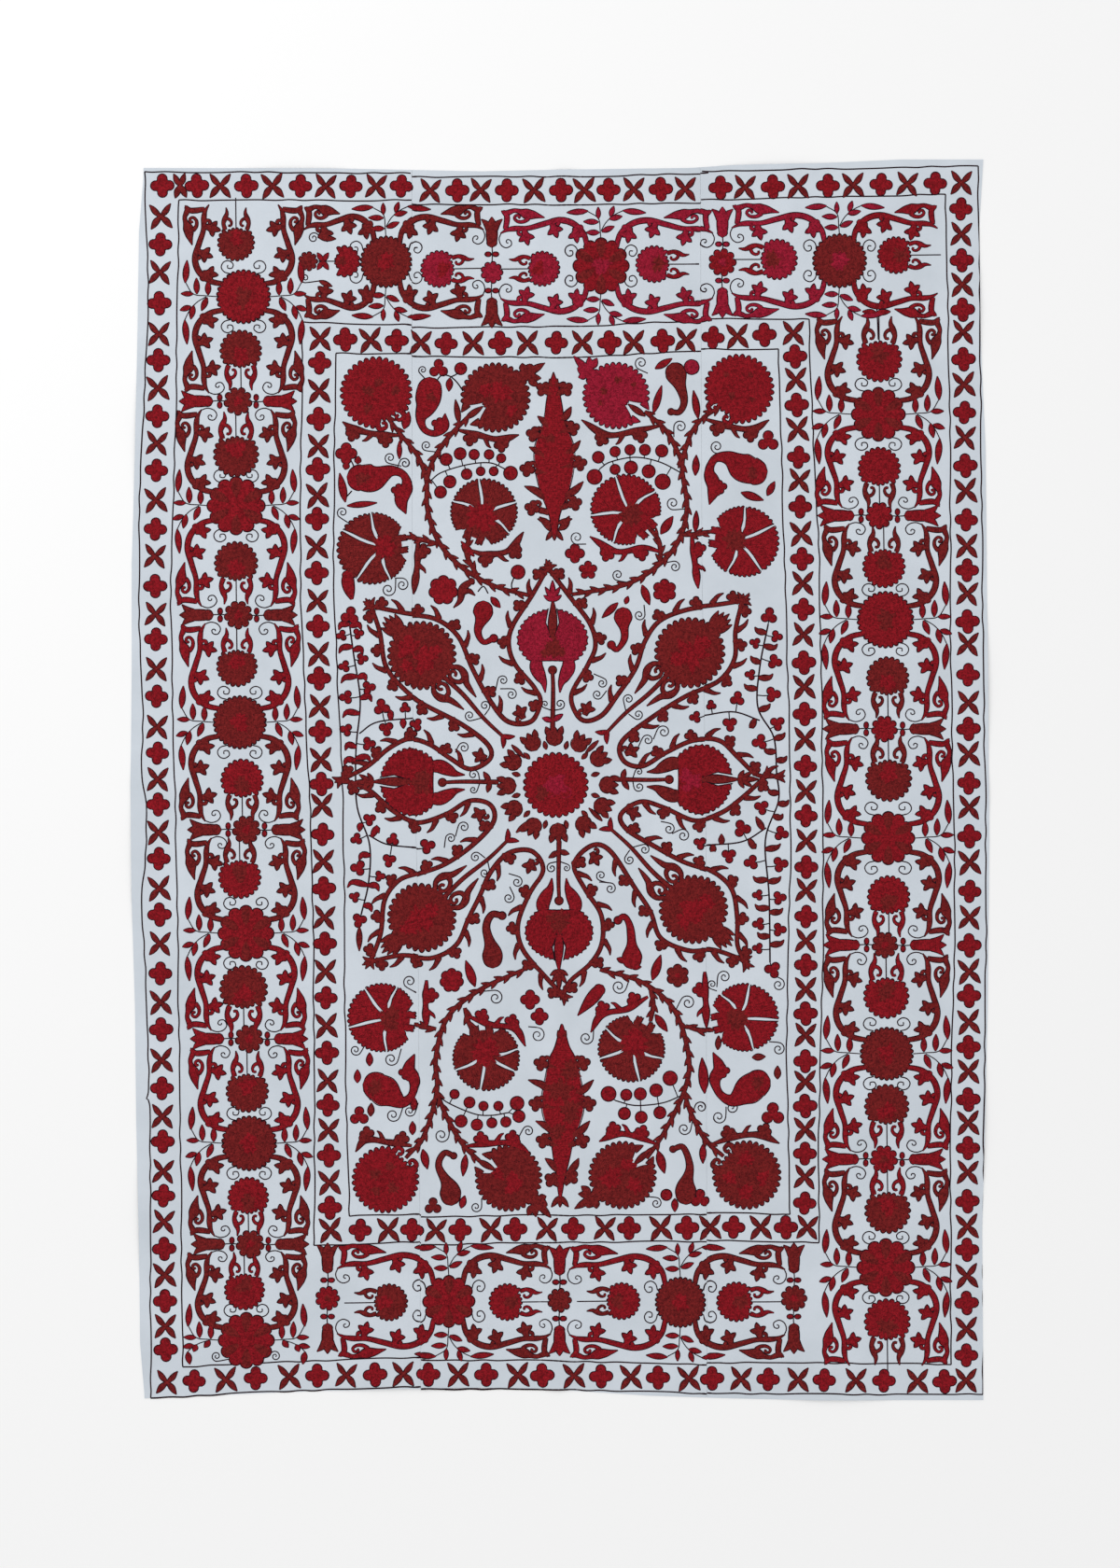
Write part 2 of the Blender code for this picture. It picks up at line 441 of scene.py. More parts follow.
def ivy(thread, spot, size=1.0, hand=1):
    """A leaf with three points and a small curl, growing up from the place given."""
    blob(thread, spot, IVY * size * spot.size, (0.0, 6.2 * size))
    ribbon(thread, spot(np.array([(0.0, -0.5), (0.0, 4.0)]) * size), np.array([5.6, 7.0]) * size)
    hook = np.array([(-4.2, 3.4), (-7.0, 1.6), (-6.6, -1.6), (-3.9, -1.6)]) * (hand * size, size)
    ribbon(thread, spot(hook), np.array([3.8, 3.4, 2.6, 2.0]) * size, step=1.4)


def cloud_leaf(thread, spot, size=1.0, hand=1):
    """A leaf of round lobes whose last one rolls back to the stem, growing up from the place given."""
    blob(thread, spot, CLOUD * size * spot.size, (0.0, 5.4 * size))
    hook = np.array([(-5.0, 4.0), (-8.2, 1.0), (-7.2, -2.4), (-4.2, -2.0)]) * (hand * size, size)
    ribbon(thread, spot(hook), np.array([5.0, 4.2, 3.0, 2.2]) * size, step=1.4)


# A fin's path: how far across from its stem, and how far ahead
FIN = ((0.0, -2.5), (4.5, 1.5), (8.0, 5.5), (10.0, 11.5))


def fin(thread, foot, ahead, across, size=1.0):
    """A thorn like a fin, from a foot on a stem: ahead is along the stem and across away from it."""
    points = [foot + across * out * size + ahead * on * size for out, on in FIN]
    ribbon(thread, points, np.array([6.4, 4.6, 3.2, 0.3]) * size, step=1.8)


# A round flower's sepal, drafted for this radius, and the curl on its inner side
FLAME_RADIUS = 23.0
FLAME = [(13.5, -16.0), (15.6, -23.4), (13.6, -30.0), (11.3, -36.2), (12.3, -43.0)]
FLAME_HOOK = [(13.0, -30.0), (8.2, -28.5), (5.6, -24.5), (6.8, -20.6), (9.4, -21.0)]


def flame(thread, spot, side, size):
    """A sepal like a flame, with a curl on its inner side."""
    scale = (side * size, size)
    ribbon(thread, spot(np.array(FLAME) * scale), np.array([5.0, 4.0, 5.5, 3.5, 0.3]) * size, step=2.0)
    ribbon(thread, spot(np.array(FLAME_HOOK) * scale), np.array([3.4, 3.0, 2.6, 2.2, 2.0]) * size, step=1.4)


def round_flower(thread, spot, radius, heart, sepals, stem):
    """A scalloped flower that opens upwards, with two flames below and a stem of the given length."""
    line([spot((0, -radius * 0.6)), spot((0.4, -stem))])
    for side in (1, -1):
        flame(sepals, spot, side, radius / FLAME_RADIUS)
    radii = scallops(21, radius, 0.12, 7)
    down = off_by(np.linspace(0, 360, len(radii), endpoint=False), 270)
    blob(thread, spot, radii * np.where(down < 42, 0.8, 1.0), radial=True)
    if heart != thread:
        patch(heart, spot, (0, -radius * 0.22), radius * 0.42, int(spot.y))


def rosette(thread, spot, radius, heart, petals, layer=1):
    """A wide flower: fine scallops, or twelve deep petals whose colours take turns."""
    if petals > 20:
        blob(thread, spot, scallops(petals, radius, 0.09), layer=layer, radial=True)
        patch(heart, spot, (0, 0), radius * 0.36, int(spot.y), layer)
        return
    petal_rim = lobes(12, radius * 0.78, radius * 0.235)
    blob("red" if thread == "brown" else thread, spot, petal_rim, layer=layer)
    for petal in range(1, 12, 2):
        path = [spot(polar(petal * 30, radius * share)) for share in (0.25, 0.6, 0.96)]
        widths = np.array([0.02, 0.24, 0.4, 0.38, 0.3]) * radius
        ribbon("brown" if heart != "brown" else "red", path, widths, layer + PATCH_LAYER, 0)
    patch(heart, spot, (0, 0), radius * 0.34, int(spot.y), layer)


def tulip(thread, spot, start, end):
    """A tulip lying along up, from its round foot to its three tips."""
    run = end - start
    body = [(0, start + run * share) for share in (0, 0.45, 0.8, 1)]
    ribbon(thread, spot(body), [9.0, 10.0, 11.5, 12.0, 11.8, 10.5, 7.0, 0.3], step=1.8, blunt=True)
    for side in (1, -1):
        tip = [(out * side, start + run * share) for out, share in ((3.2, 0.56), (5.4, 0.76), (11.2, 0.93))]
        ribbon(thread, spot(tip), [6.0, 6.0, 0.3], step=1.8)


def cross_unit(thread, spot, radius, heart, tulips, reach):
    """A small rosette with a stalk, a leaf pair and a tulip on each side of the band."""
    for side in (1, -1):
        half = Spot(spot.x, spot.y, spot.turn + 90 - 90 * side)
        line(half([(0, radius * 0.8), (0.6, 20), (0, 30)]))
        for across in (-1, 1):
            pair = "crimson" if tulips == "crimson" else "red"
            blob(pair, half, scallops(1, 3.6, 0, 10), (across * 4.0, 19.5), squash=0.72)
        tulip(tulips, half, 27.0, reach)
    blob(thread, spot, lobes(9, radius * 0.8, radius * 0.28), layer=0, radial=True)
    patch(heart, spot, (0, 0), radius * 0.4, int(spot.x))


# An arm of the wide border, its hooked leaf with the base and the curl of it, and its two tendrils
ARM = [(14, 19), (18, 36), (29, 48), (44, 52), (61, 47.5), (76, 43), (90, 42.5), (98, 41), (105, 37)]
HOOK = [(59, 55), (64, 56.5), (70, 58), (77, 59), (85, 62), (91, 63), (98, 60.5), (104, 62.5)]
HOOK_BASE = [(102.5, 62), (98.5, 57.5), (98.5, 50), (100, 42)]
HOOK_CURL = [(76, 54), (80.5, 50.6), (86.5, 50.4), (90.4, 54), (88.5, 57.6), (85, 56.6), (85.8, 54.4)]
ARM_TENDRIL = [
    (104, 38), (106.4, 31), (104.5, 24), (99.3, 20.6), (93.8, 23.5), (94.2, 28.6), (98, 30), (99, 26.8),
    (96.8, 26),
]
ROSETTE_TENDRIL = [
    (24.5, 13.5), (26.5, 20.5), (31.5, 23.9), (37, 21.5), (38.5, 16), (35, 11.1), (30.5, 12.5), (30.8, 17),
    (34, 16.9),
]


def arm(thread, spot, coiled):
    """A curved arm of the wide border, with its hooked leaf and three ivy leaves. Right is along it."""
    ribbon(thread, spot(ARM), [4.4, 5.2, 5.8, 6.0, 5.6, 5.2, 4.6, 5.0, 0.4])
    ribbon(thread, spot(HOOK), [0.3, 4.5, 9.0, 10.5, 5.0, 4.0, 5.2, 0.4], step=2.0)
    ribbon(thread, spot(HOOK_BASE), [3.6, 5.4, 5.4, 4.4], step=2.0)
    ribbon(thread, spot(HOOK_CURL), [4.6, 3.4, 3.0, 2.6, 2.4, 2.4, 2.0], step=1.4)
    for right, up, turn, hand in ((27, 43, 172, -1), (51, 48, 160, -1), (80, 40, 165, 1)):
        ivy(thread, Spot(*spot((right, up)), spot.turn + turn * spot.flip, 1.0, spot.flip), 0.98, hand)
    if coiled:
        line(spot(ARM_TENDRIL), step=1.5)


SPRIG_STEMS = [
    [(27, 0), (40, 1), (54, 3), (62, 15)],
    [(40, 0), (50, -6), (58, -15), (63, -25)],
]
# Leaves of the sprig beside a rosette: foot, tip and width
SPRIG_LEAVES = [
    ((38, 2), (38, 17), 6.0), ((39, -1), (45, -15), 6.0), ((50, 3), (50.5, 20), 6.0),
    ((54, 3), (67, 3.3), 5.0), ((62.5, 15), (60.5, 39), 6.5), ((53.5, -9.5), (56.5, -24), 6.0),
    ((56.5, -10.5), (68, -14.5), 5.5), ((63, -25), (60.5, -51), 6.5),
]


def sprig(thread, spot, low):
    """A twig with eight narrow leaves: right is away from the rosette. Low squeezes what lies below it."""

    def placed(points):
        return spot([(right, up * (low if up < 0 else 1)) for right, up in points])

    for points in SPRIG_STEMS:
        line(placed(points), 1.5)
    for foot, tip, width in SPRIG_LEAVES:
        leaf(thread, *placed((foot, tip)), width * spot.size)


# The large flowers and the branches of the field


def sector(thread, spot, start, end, rim, gaps, pulls=(1, 1), at=(0.0, 0.0), inner=4.0, step=1.0):
    """Part of a flower between two slits, whose half widths are given from its middle to its rim.

    Angles are in degrees, and rim gives the radius at each. A pull below 1 bends that slit towards the
    angle of zero as it nears the middle.
    """
    wide = math.radians(end - start)
    reach = rim(np.radians([(start + end) / 2]))[0]
    count = max(10, int(wide * reach / step))
    inner = max(inner, gaps[0] * 1.08 / math.sin(min(wide / 2, 1.5)))
    shares = np.linspace(0, 1, count + 1)[:, None]
    rings = np.array([0.0, *np.linspace(0.1, 0.94, max(3, int(reach / 9))), 1.0])[None, :]
    middle = rim(np.radians(start + (end - start) * shares))
    span = inner + (middle - inner) * rings
    half = np.interp(rings, np.linspace(0, 1, len(gaps)), gaps)
    gap = np.degrees(np.arcsin(np.clip(half / span, 0, 1)))
    eased_in = 1 - np.clip(rings * 1.2, 0, 1)
    first = start * (1 - (1 - pulls[0]) * eased_in) + gap
    last = end * (1 - (1 - pulls[1]) * eased_in) - gap
    angles = np.radians(first + (last - first) * shares)
    local = np.stack([np.cos(angles) * span, np.sin(angles) * span], axis=-1) + np.array(at, float)
    height = np.full(span.shape, FILL_HEIGHT)
    height[:, [0, -1]] = 0.0
    height[[0, -1], :] = 0.0
    height[[1, -2], 1:-1] *= 0.8
    sew(thread, spot(local), height, np.stack([span, angles * span * 0.5], axis=-1), 0)
    edged(spot(np.vstack([local[:, -1], local[-1, -2::-1], local[-2::-1, 0], local[0, 1:-1]])), 0)


def rim_of(radius, count, depth, tall=1.0, floor=None):
    """A flower's scalloped rim, as a function of the angle. A floor cuts it flat that far below."""

    def rim(angles):
        scallop = 1 - depth * (1 - np.abs(np.sin(angles * count / 2)))
        reach = radius * scallop / np.hypot(np.cos(angles), np.sin(angles) / tall)
        if floor is None:
            return reach
        down = np.maximum(-np.sin(angles), 1e-3)
        return np.minimum(reach, floor / down)

    return rim


def full_rim(rim, count):
    """A rim's radii at even turns."""
    return rim(np.linspace(0, 2 * math.pi, count, endpoint=False))


def blotches(thread, places):
    """Spots of another colour: x and y on the draft, and radius."""
    for x, y, radius in places:
        patch(thread, Spot(x, y), (0, 0), radius, int(x * 7 + y))


# Half widths of a carnation's slits, from its heart to its rim
SLIT_WIDTHS = (1.4, 2.0, 2.1, 1.9, 1.2)


def carnation(thread, heart, x, y, radius, slits, stem, heart_radius, off_middle):
    """A fan-shaped flower whose petals are parted by white slits.

    Its heart lies off the middle, towards the stem. Angles are in degrees.
    """
    away = stem + 180
    spot = Spot(x, y, away)
    bounds = sorted((slit - away + 180) % 360 - 180 for slit in slits)
    bounds = [-175, *bounds, 175]
    for rank, (start, end) in enumerate(zip(bounds, bounds[1:])):
        pulls = (1 if rank == 0 else 0.66, 1 if rank == len(bounds) - 2 else 0.66)

        def rim(angles):
            off = np.abs(np.abs(np.degrees(angles)) - 148)
            notch = 1 - 0.3 * np.clip(1 - off / 10.0, 0, 1) ** 0.6
            scallop = 1 - 0.06 * (1 - np.abs(np.sin(angles * 23)))
            reach = off_middle * np.cos(angles) + np.sqrt(radius**2 - (off_middle * np.sin(angles)) ** 2)
            return reach * notch * scallop

        sector(thread, spot, start, end, rim, SLIT_WIDTHS, pulls, inner=heart_radius * 0.75)
    blob(thread, spot, scallops(1, heart_radius * 1.25, 0, 40), edge=0)
    ribbon(thread, spot([(-heart_radius * 0.5, 0), (off_middle - radius * 0.82, 0)]), [9.0, 8.0], edge=0)
    patch(heart, spot, (0, 0), heart_radius * 1.25, int(x))
    for rank in range(9):
        angle = rank * 32 - 128
        leafy = [spot(polar(angle, heart_radius * 0.7)), spot(polar(angle + 3, heart_radius * 1.6))]
        ribbon(heart, leafy, [5.2, 4.0, 0.4], PATCH_LAYER, 0)


def notched(radii, stem, left, half):
    """Radii with a notch at the stem's angle: the share that is left there, and half its angle."""
    off = off_by(np.linspace(0, 360, len(radii), endpoint=False), stem)
    return radii * np.interp(off, [half, half * 1.55], [left, 1.0])


# The curl on each side of a blossom's notch: degrees off the stem, and share of the radius
NOTCH_CURL = ((27, 0.84), (22, 1.02), (12, 1.0), (11, 0.87), (17, 0.88))


def blossom(thread, heart, x, y, radius, stem, spots=(), crown=None):
    """A large scalloped blossom with a notch at the stem's angle, and maybe tips at the crown's angle."""
    spot = Spot(x, y)
    radii = full_rim(rim_of(radius, 32, 0.1), 192)
    if crown is None:
        blob(thread, spot, notched(radii, stem, 0.82, 18.0), radial=True)
        for hand in (1, -1):
            path = [polar(stem + off * hand, radius * share) for off, share in NOTCH_CURL]
            ribbon(thread, spot(path), [6.0, 5.0, 3.8, 3.0, 2.6], step=1.5)
    else:
        blob(thread, spot, notched(radii, stem, 0.42, 14.5), radial=True)
        neck = spot([polar(crown, radius * share) for share in (0.85, 1.1, 1.4)])
        ribbon(thread, neck, [17.0, 12.5, 15.0, 9.0])
        for off, reach in ((-23, 1.25), (-15, 1.41), (-3, 1.72), (6, 1.38), (14, 1.24)):
            foot = polar(crown + off * 0.35, radius * 1.08)
            leaf(thread, spot(foot), spot(polar(crown + off, radius * reach)), 7.5)
        leaf("brown", spot(polar(stem, radius * 1.06)), spot(polar(stem, radius * 0.44)), 6.2)
        for hand in (1, -1):
            foot, tip = polar(stem + 22 * hand, radius * 0.84), polar(stem + 12 * hand, radius * 1.06)
            ribbon(thread, [spot(foot), spot(tip)], [9.0, 5.5, 0.4])
    blotches(heart, spots)


def polar(angle, radius):
    """Right and up of a place, from its angle in degrees and its radius."""
    return math.cos(math.radians(angle)) * radius, math.sin(math.radians(angle)) * radius


# Branches of the field, in pixels
STEM_WIDTH = 4.2
THORN_SPACING = 15.0
LEAF_SPACING = 19.5
STAR_LEAF_ROOM = 17.0


def stem(points):
    """A branch with thorns leaning along it on both sides."""
    ribbon("brown", points, np.array([0.8, 1, 1, 0.8]) * STEM_WIDTH, step=3.0)
    count = max(int(travel(points)[-1] / THORN_SPACING), 1)
    curve = smooth(points, count * 4 + 3)
    ahead = heading(curve)
    for rank in range(count * 2):
        place = 1 + rank * 2
        side = 1 if rank % 2 else -1
        across = np.array([-ahead[place, 1], ahead[place, 0]]) * side
        foot = curve[place] - ahead[place] * 2.0
        middle = foot + ahead[place] * 4.0 + across * STEM_WIDTH * 0.5
        tip = foot + ahead[place] * 8.5 + across * STEM_WIDTH * 1.25
        ribbon("brown", [foot, middle, tip], [3.4, 3.6, 0.3])


def frame_vine(points, side):
    """One stretch of the leaf frames, with round leaves and fins by turns that lean to its two tips."""
    ribbon("brown", points, [3.8, 4.2, 4.0, 4.4, 4.0, 4.2, 3.8], step=2.6)
    count = round(travel(points)[-1] / LEAF_SPACING)
    curve = smooth(points, count * 4 + 1)
    ahead = heading(curve)
    for rank in range(count):
        place = rank * 4 + 2
        lean = -1 if place < len(curve) / 2 else 1
        forward = ahead[place] * lean
        across = np.array([-ahead[place, 1], ahead[place, 0]]) * side
        foot = curve[place] + across * 1.4
        if min(math.dist(foot, place) for place in STAR_LEAVES) < STAR_LEAF_ROOM:
            continue
        if rank % 2:
            fin("brown", foot, forward, across)
        else:
            turn = turn_from((0, 0), *(across + forward * 0.2))
            cloud_leaf("brown", Spot(*foot, turn), 0.78, side * lean)
    for tip, before in ((curve[0], curve[2]), (curve[-1], curve[-3])):
        run = (tip - before) / np.hypot(*(tip - before))
        across = np.array([-run[1], run[0]]) * side
        for turn in (1, 0.1, -0.9):
            path = [tip + run * on + across * turn * out for on, out in ((-2, 0), (4, 2), (9, 7))]
            ribbon("brown", path, [4.4, 4.4, 0.3])


def spray(thread, points, lobe_places):
    """A curved spray: a stem that swells to its tip, with a lobed leaf, a fin and a lobed leaf."""
    ribbon(thread, points, [2.4, 4.6, 6.6, 5.6, 5.4, 7.6, 6.0, 0.4], step=2.4)
    curve = smooth(points, 60)
    ahead = heading(curve)
    for rank, (x, y) in enumerate(lobe_places):
        place = nearest(curve, x, y)
        away = np.array((x, y)) - curve[place]
        away /= np.hypot(*away)
        foot = curve[place] + away * 1.2
        if rank == 1:
            fin(thread, foot, ahead[place] * 0.7, away, 0.85)
        else:
            hand = 1 if ahead[place, 0] * away[1] - ahead[place, 1] * away[0] > 0 else -1
            cloud_leaf(thread, Spot(*foot, turn_from((0, 0), *away)), 0.9, hand)


def berries(stem_points, fruit):
    """A curved twig with round berries: x, y and radius of each."""
    line(stem_points, 1.9)
    curve = smooth(stem_points, 50)
    for x, y, radius in fruit:
        line([curve[nearest(curve, x, y)], (x, y)], 1.6)
        blob("red", Spot(x, y), scallops(1, radius, 0, 28))


def trefoil(x, y, turn, size):
    """A three-lobed leaf of the side vines, as wide as its size."""
    blob("red", Spot(x, y, turn, size / TREFOIL_WIDTH), np.roll(TREFOIL, len(TREFOIL) // 4))


# Half widths of the slits on both sides of a pomegranate's spindle, and one of its sepals
SPINDLE_GAPS = (1.0, 5.5, 7.4, 7.2, 6.4, 4.4)
SEPAL = [(17, -28), (17.3, -35), (13, -44.7), (9.3, -52), (7.8, -62)]
# The tuft of a pomegranate: height of each foot, tip and width
FLEUR = [
    (34, (0, 58), 6.0), (38, (8, 51), 4.5), (38, (-8, 51), 4.5), (36, (9.5, 42), 4.5),
    (36, (-9.5, 42), 4.5),
]


def pomegranate(thread, heart, spindle, fleur, sepals, x, y, turn, wide, tall, stem_length):
    """A pomegranate: a spindle between two slits opens upwards, over two sepals and a long stalk."""
    spot = Spot(x, y, turn)
    rim = rim_of(wide, 34, 0.08, tall, 24.0)
    sector(thread, spot, 90, 450, rim, SPINDLE_GAPS, at=(0, -4), inner=3.5, step=1.6)
    blob(thread, spot, scallops(1, 12.0, 0, 36), at=(0, -11.5), edge=0, squash=0.8)
    patch(heart, spot, (0, -15), 11, int(x))
    patch(heart, spot, (9, -19), 6, int(y))
    patch(heart, spot, (-9, -21), 5, int(y) + 1)
    ribbon(spindle, spot([(0, -9), (0, 8), (0.5, 26), (0, 38)]), [1.0, 6.5, 9.5, 8.5, 5.0, 0.5])
    for foot, tip, width in FLEUR:
        leaf(fleur, spot((0, foot)), spot(tip), width)
    for side in (1, -1):
        ribbon(sepals, spot(np.array(SEPAL) * (side, 1)), [12.0, 14.0, 11.5, 5.5, 0.4], step=2.0)
        curl_at = (8.0 * side, -46 - stem_length * 0.45)
        tendril(spot((0.5 * side, curl_at[1] - 7)), spot(curl_at), 4.8 + side * 0.7, -side, 1.4)
        leaf_foot = curl_at[1] - 18
        leaf(fleur, spot((0, leaf_foot)), spot((11 * side, leaf_foot + 5 + 2 * side)), 5.5)
    blob("brown", spot, scallops(1, 4.4, 0, 24), at=(0, -38))
    ribbon("brown", spot([(0, -41), (0.6, -60), (0, -42 - stem_length)]), [2.8, 3.4, 3.8, 4.6])


# The flames under a rosette in a corner leaf, and the hook on each
ROSETTE_FLAME = [(13, -31), (18.5, -37), (18.3, -45.5), (13, -54), (11, -62), (9.3, -73)]
ROSETTE_HOOK = [(14, -50), (8, -48.5), (4.4, -42), (6, -36), (11.5, -35), (12.2, -39.5), (9.4, -41)]


def leaf_rosette(x, y, turn, radius, spots):
    """The large rosette inside a corner leaf, with a tuft, flames and a stalk. Up is to the leaf's tip."""
    spot = Spot(x, y, turn)
    blob("brown", spot, full_rim(rim_of(radius, 30, 0.1), 180), radial=True)
    for across in range(-2, 3):
        tip = (across * 5.2, radius * 1.55 - abs(across) * 3.0)
        leaf("brown", spot((across * 2.0, radius * 0.85)), spot(tip), 6.5)
    for side in (1, -1):
        ribbon("brown", spot(np.array(ROSETTE_FLAME) * (side, 1)), [4.0, 5.4, 7.6, 6.0, 4.0, 0.4])
        hook = spot(np.array(ROSETTE_HOOK) * (side, 1))
        ribbon("brown", hook, [5.0, 4.4, 3.8, 3.4, 3.0, 2.8, 2.4], step=1.5)
        tendril(spot((2 * side, -93)), spot((9.5 * side, -84 - 2 * side)), 5.6, -side, 1.5)
        leaf("red", spot((0, -121)), spot((9 * side, -132)), 5.0, 0.1 * side)
    ribbon("brown", spot([(0, -26), (1.5, -60), (-1, -95), (0, -126)]), [4.5, 4.0, 3.4, 2.6])
    leaf("brown", spot((0, -136)), spot((0, -156)), 4.5)
    blotches("red", [(x, y, size * 1.5) for x, y, size in spots])


def side_vine(points, twigs, trefoils, leaves, leaf_thread, bend):
    """A thin climbing stem with three-lobed leaves and small curved ones, bent down where bend is 1."""
    line(points, 2.4)
    for twig in twigs:
        line(twig, 2.2)
    strings = np.vstack([smooth(points, 160), *(smooth(twig, 60) for twig in twigs)])
    for x, y, size in trefoils:
        foot = strings[nearest(strings, x, y)]
        line([foot, ((foot[0] + x) / 2, (foot[1] + y) / 2 + 1), (x, y)])
        trefoil(x, y, turn_from(foot, x, y), size)
    for x, y in leaves:
        foot = strings[nearest(strings, x, y)]
        tip = (x + (x - foot[0]) * 0.35, y + 5 * bend)
        ribbon(leaf_thread, [foot, (x, y - 1), tip], [3.0, 6.5, 5.0, 0.4])


# The pattern of the borders

# Frame lines, from outside in: corners and bends of each side
FRAME_LINES = [
    [(155, 184), (440, 186.3)],
    [(441, 189), (600, 189.5), (750, 186), (752, 186)],
    [(752, 184), (1048, 178)],
    [(1048, 178), (1051, 470), (1053.6, 720), (1056.5, 960), (1054, 1200), (1053, 1494)],
    [(1053, 1494), (870, 1493.5), (757, 1492.7)],
    [(757, 1493), (620, 1489), (451, 1487.5)],
    [(451, 1486), (330, 1489.4), (161.5, 1497.7)],
    [(161.5, 1497.7), (161, 1210), (156, 1180), (159.5, 1160), (157, 1071), (152.3, 964), (156, 920),
     (156.4, 863), (152.3, 830), (153, 765), (149.2, 650), (150.2, 525), (158.4, 330), (155, 184)],
    [(191.7, 214.4), (441, 215)],
    [(441, 218.4), (600, 219.6), (751, 217.5)],
    [(751, 214.5), (1013, 208.3)],
    [(1013, 208.3), (1017.8, 470), (1018.8, 720), (1023, 960), (1018.5, 1200), (1019, 1462)],
    [(1019, 1462), (870, 1460), (757, 1460.5)],
    [(757, 1462), (620, 1458.5), (451, 1456.5)],
    [(451, 1455), (330, 1458), (195.9, 1464.5)],
    [(195.9, 1464.5), (193, 1190), (189, 920), (183.3, 650), (187.8, 470), (191.7, 214.4)],
    [(324.6, 345), (441, 348.9)],
    [(441, 350.6), (600, 350), (751, 343.5)],
    [(751, 341.5), (866.9, 342.1)],
    [(866.9, 342.1), (871, 470), (878, 620), (882, 960), (877.5, 1200), (877.4, 1331.5)],
    [(877.4, 1331.5), (757, 1329)],
    [(757, 1330), (600, 1331), (451, 1333.3)],
    [(451, 1331), (336.3, 1334.3)],
    [(336.3, 1334.3), (337, 1190), (334, 920), (322.8, 650), (322.7, 470), (324.6, 345)],
    [(360, 378.5), (441, 379.5)],
    [(441, 381.2), (600, 383), (751, 376)],
    [(751, 374.5), (834, 374)],
    [(834, 374), (841, 620), (847, 870), (843, 1110), (846.4, 1301)],
    [(846.4, 1301), (757, 1300)],
    [(757, 1300.8), (600, 1302), (451, 1303.2)],
    [(451, 1301.4), (374.4, 1303)],
    [(374.4, 1303), (369.8, 1110), (367.7, 870), (357.8, 620), (360, 378.5)],
]

# Each narrow band: which way it runs, whether it starts with a cross, its run from corner to corner, and
# every motif's place along it. Crosses and quatrefoils take turns.
NARROW_BANDS = [
    ("x", False, [(174, 199), (440, 200), (442, 204), (620, 204), (750, 202), (1030, 196)],
     [174, 193, 211, 236, 264, 292, 322, 349, 376, 403, 430, 461, 490, 515, 543, 572, 601, 626, 652, 679,
      708, 734, 772, 798, 828, 855, 887, 914, 944, 972, 1002, 1030]),
    ("x", True, [(178, 1481), (330, 1474), (451, 1472), (620, 1474), (757, 1477), (1012, 1480)],
     [179, 208, 242, 274, 310, 340, 371, 402, 432, 459, 491, 521, 555, 581, 615, 644, 676, 705, 738, 763,
      794, 823, 855, 883, 917, 947, 983, 1012]),
    ("y", True, [(173, 200), (166, 600), (171, 980), (178, 1474)],
     [232, 262, 292, 325, 358, 386, 416, 446, 475, 504, 536, 567, 596, 628, 658, 685, 717, 746, 779, 807,
      835, 862, 892, 920, 952, 980, 1011, 1043, 1074, 1103, 1136, 1166, 1196, 1223, 1255, 1281, 1309, 1338,
      1366, 1394, 1421, 1446]),
    ("y", False, [(1029, 196), (1036, 600), (1039, 950), (1035, 1480)],
     [224, 251, 279, 305, 332, 356, 385, 412, 442, 469, 499, 526, 557, 585, 611, 636, 666, 690, 723, 753,
      781, 808, 839, 865, 896, 924, 955, 983, 1013, 1041, 1067, 1095, 1122, 1148, 1178, 1203, 1230, 1256,
      1287, 1314, 1339, 1367, 1396, 1424, 1452, 1479]),
    ("x", True, [(343, 363), (440, 366), (470, 368), (680, 367), (850, 357)],
     [343, 370, 397, 425, 451, 478, 507, 536, 565, 596, 624, 653, 679, 710, 735, 764, 790, 819, 850]),
    ("x", True, [(354, 1318), (451, 1318), (757, 1315), (862, 1315)],
     [354, 386, 416, 441.5, 467, 493, 526, 552, 586, 614, 648, 674, 708, 736, 761, 786, 815, 842, 865]),
    ("y", False, [(343, 363), (339, 600), (347, 950), (354, 1318)],
     [389, 419, 449, 478, 503, 531, 556, 586, 614, 644, 671, 701, 727, 757, 784, 814, 840, 863, 894, 923,
      952, 983, 1011, 1041, 1069, 1099, 1128, 1158, 1184, 1211, 1238, 1267, 1294]),
    ("y", False, [(851, 357), (860, 620), (864, 900), (862, 1317)],
     [382, 407, 434, 460, 490, 515, 543, 572, 599, 625, 653, 680, 710, 736, 765, 792, 821, 848, 874, 901,
      929, 954, 982, 1008, 1034, 1060, 1086, 1109, 1137, 1159, 1185, 1210, 1236, 1261, 1289]),
]

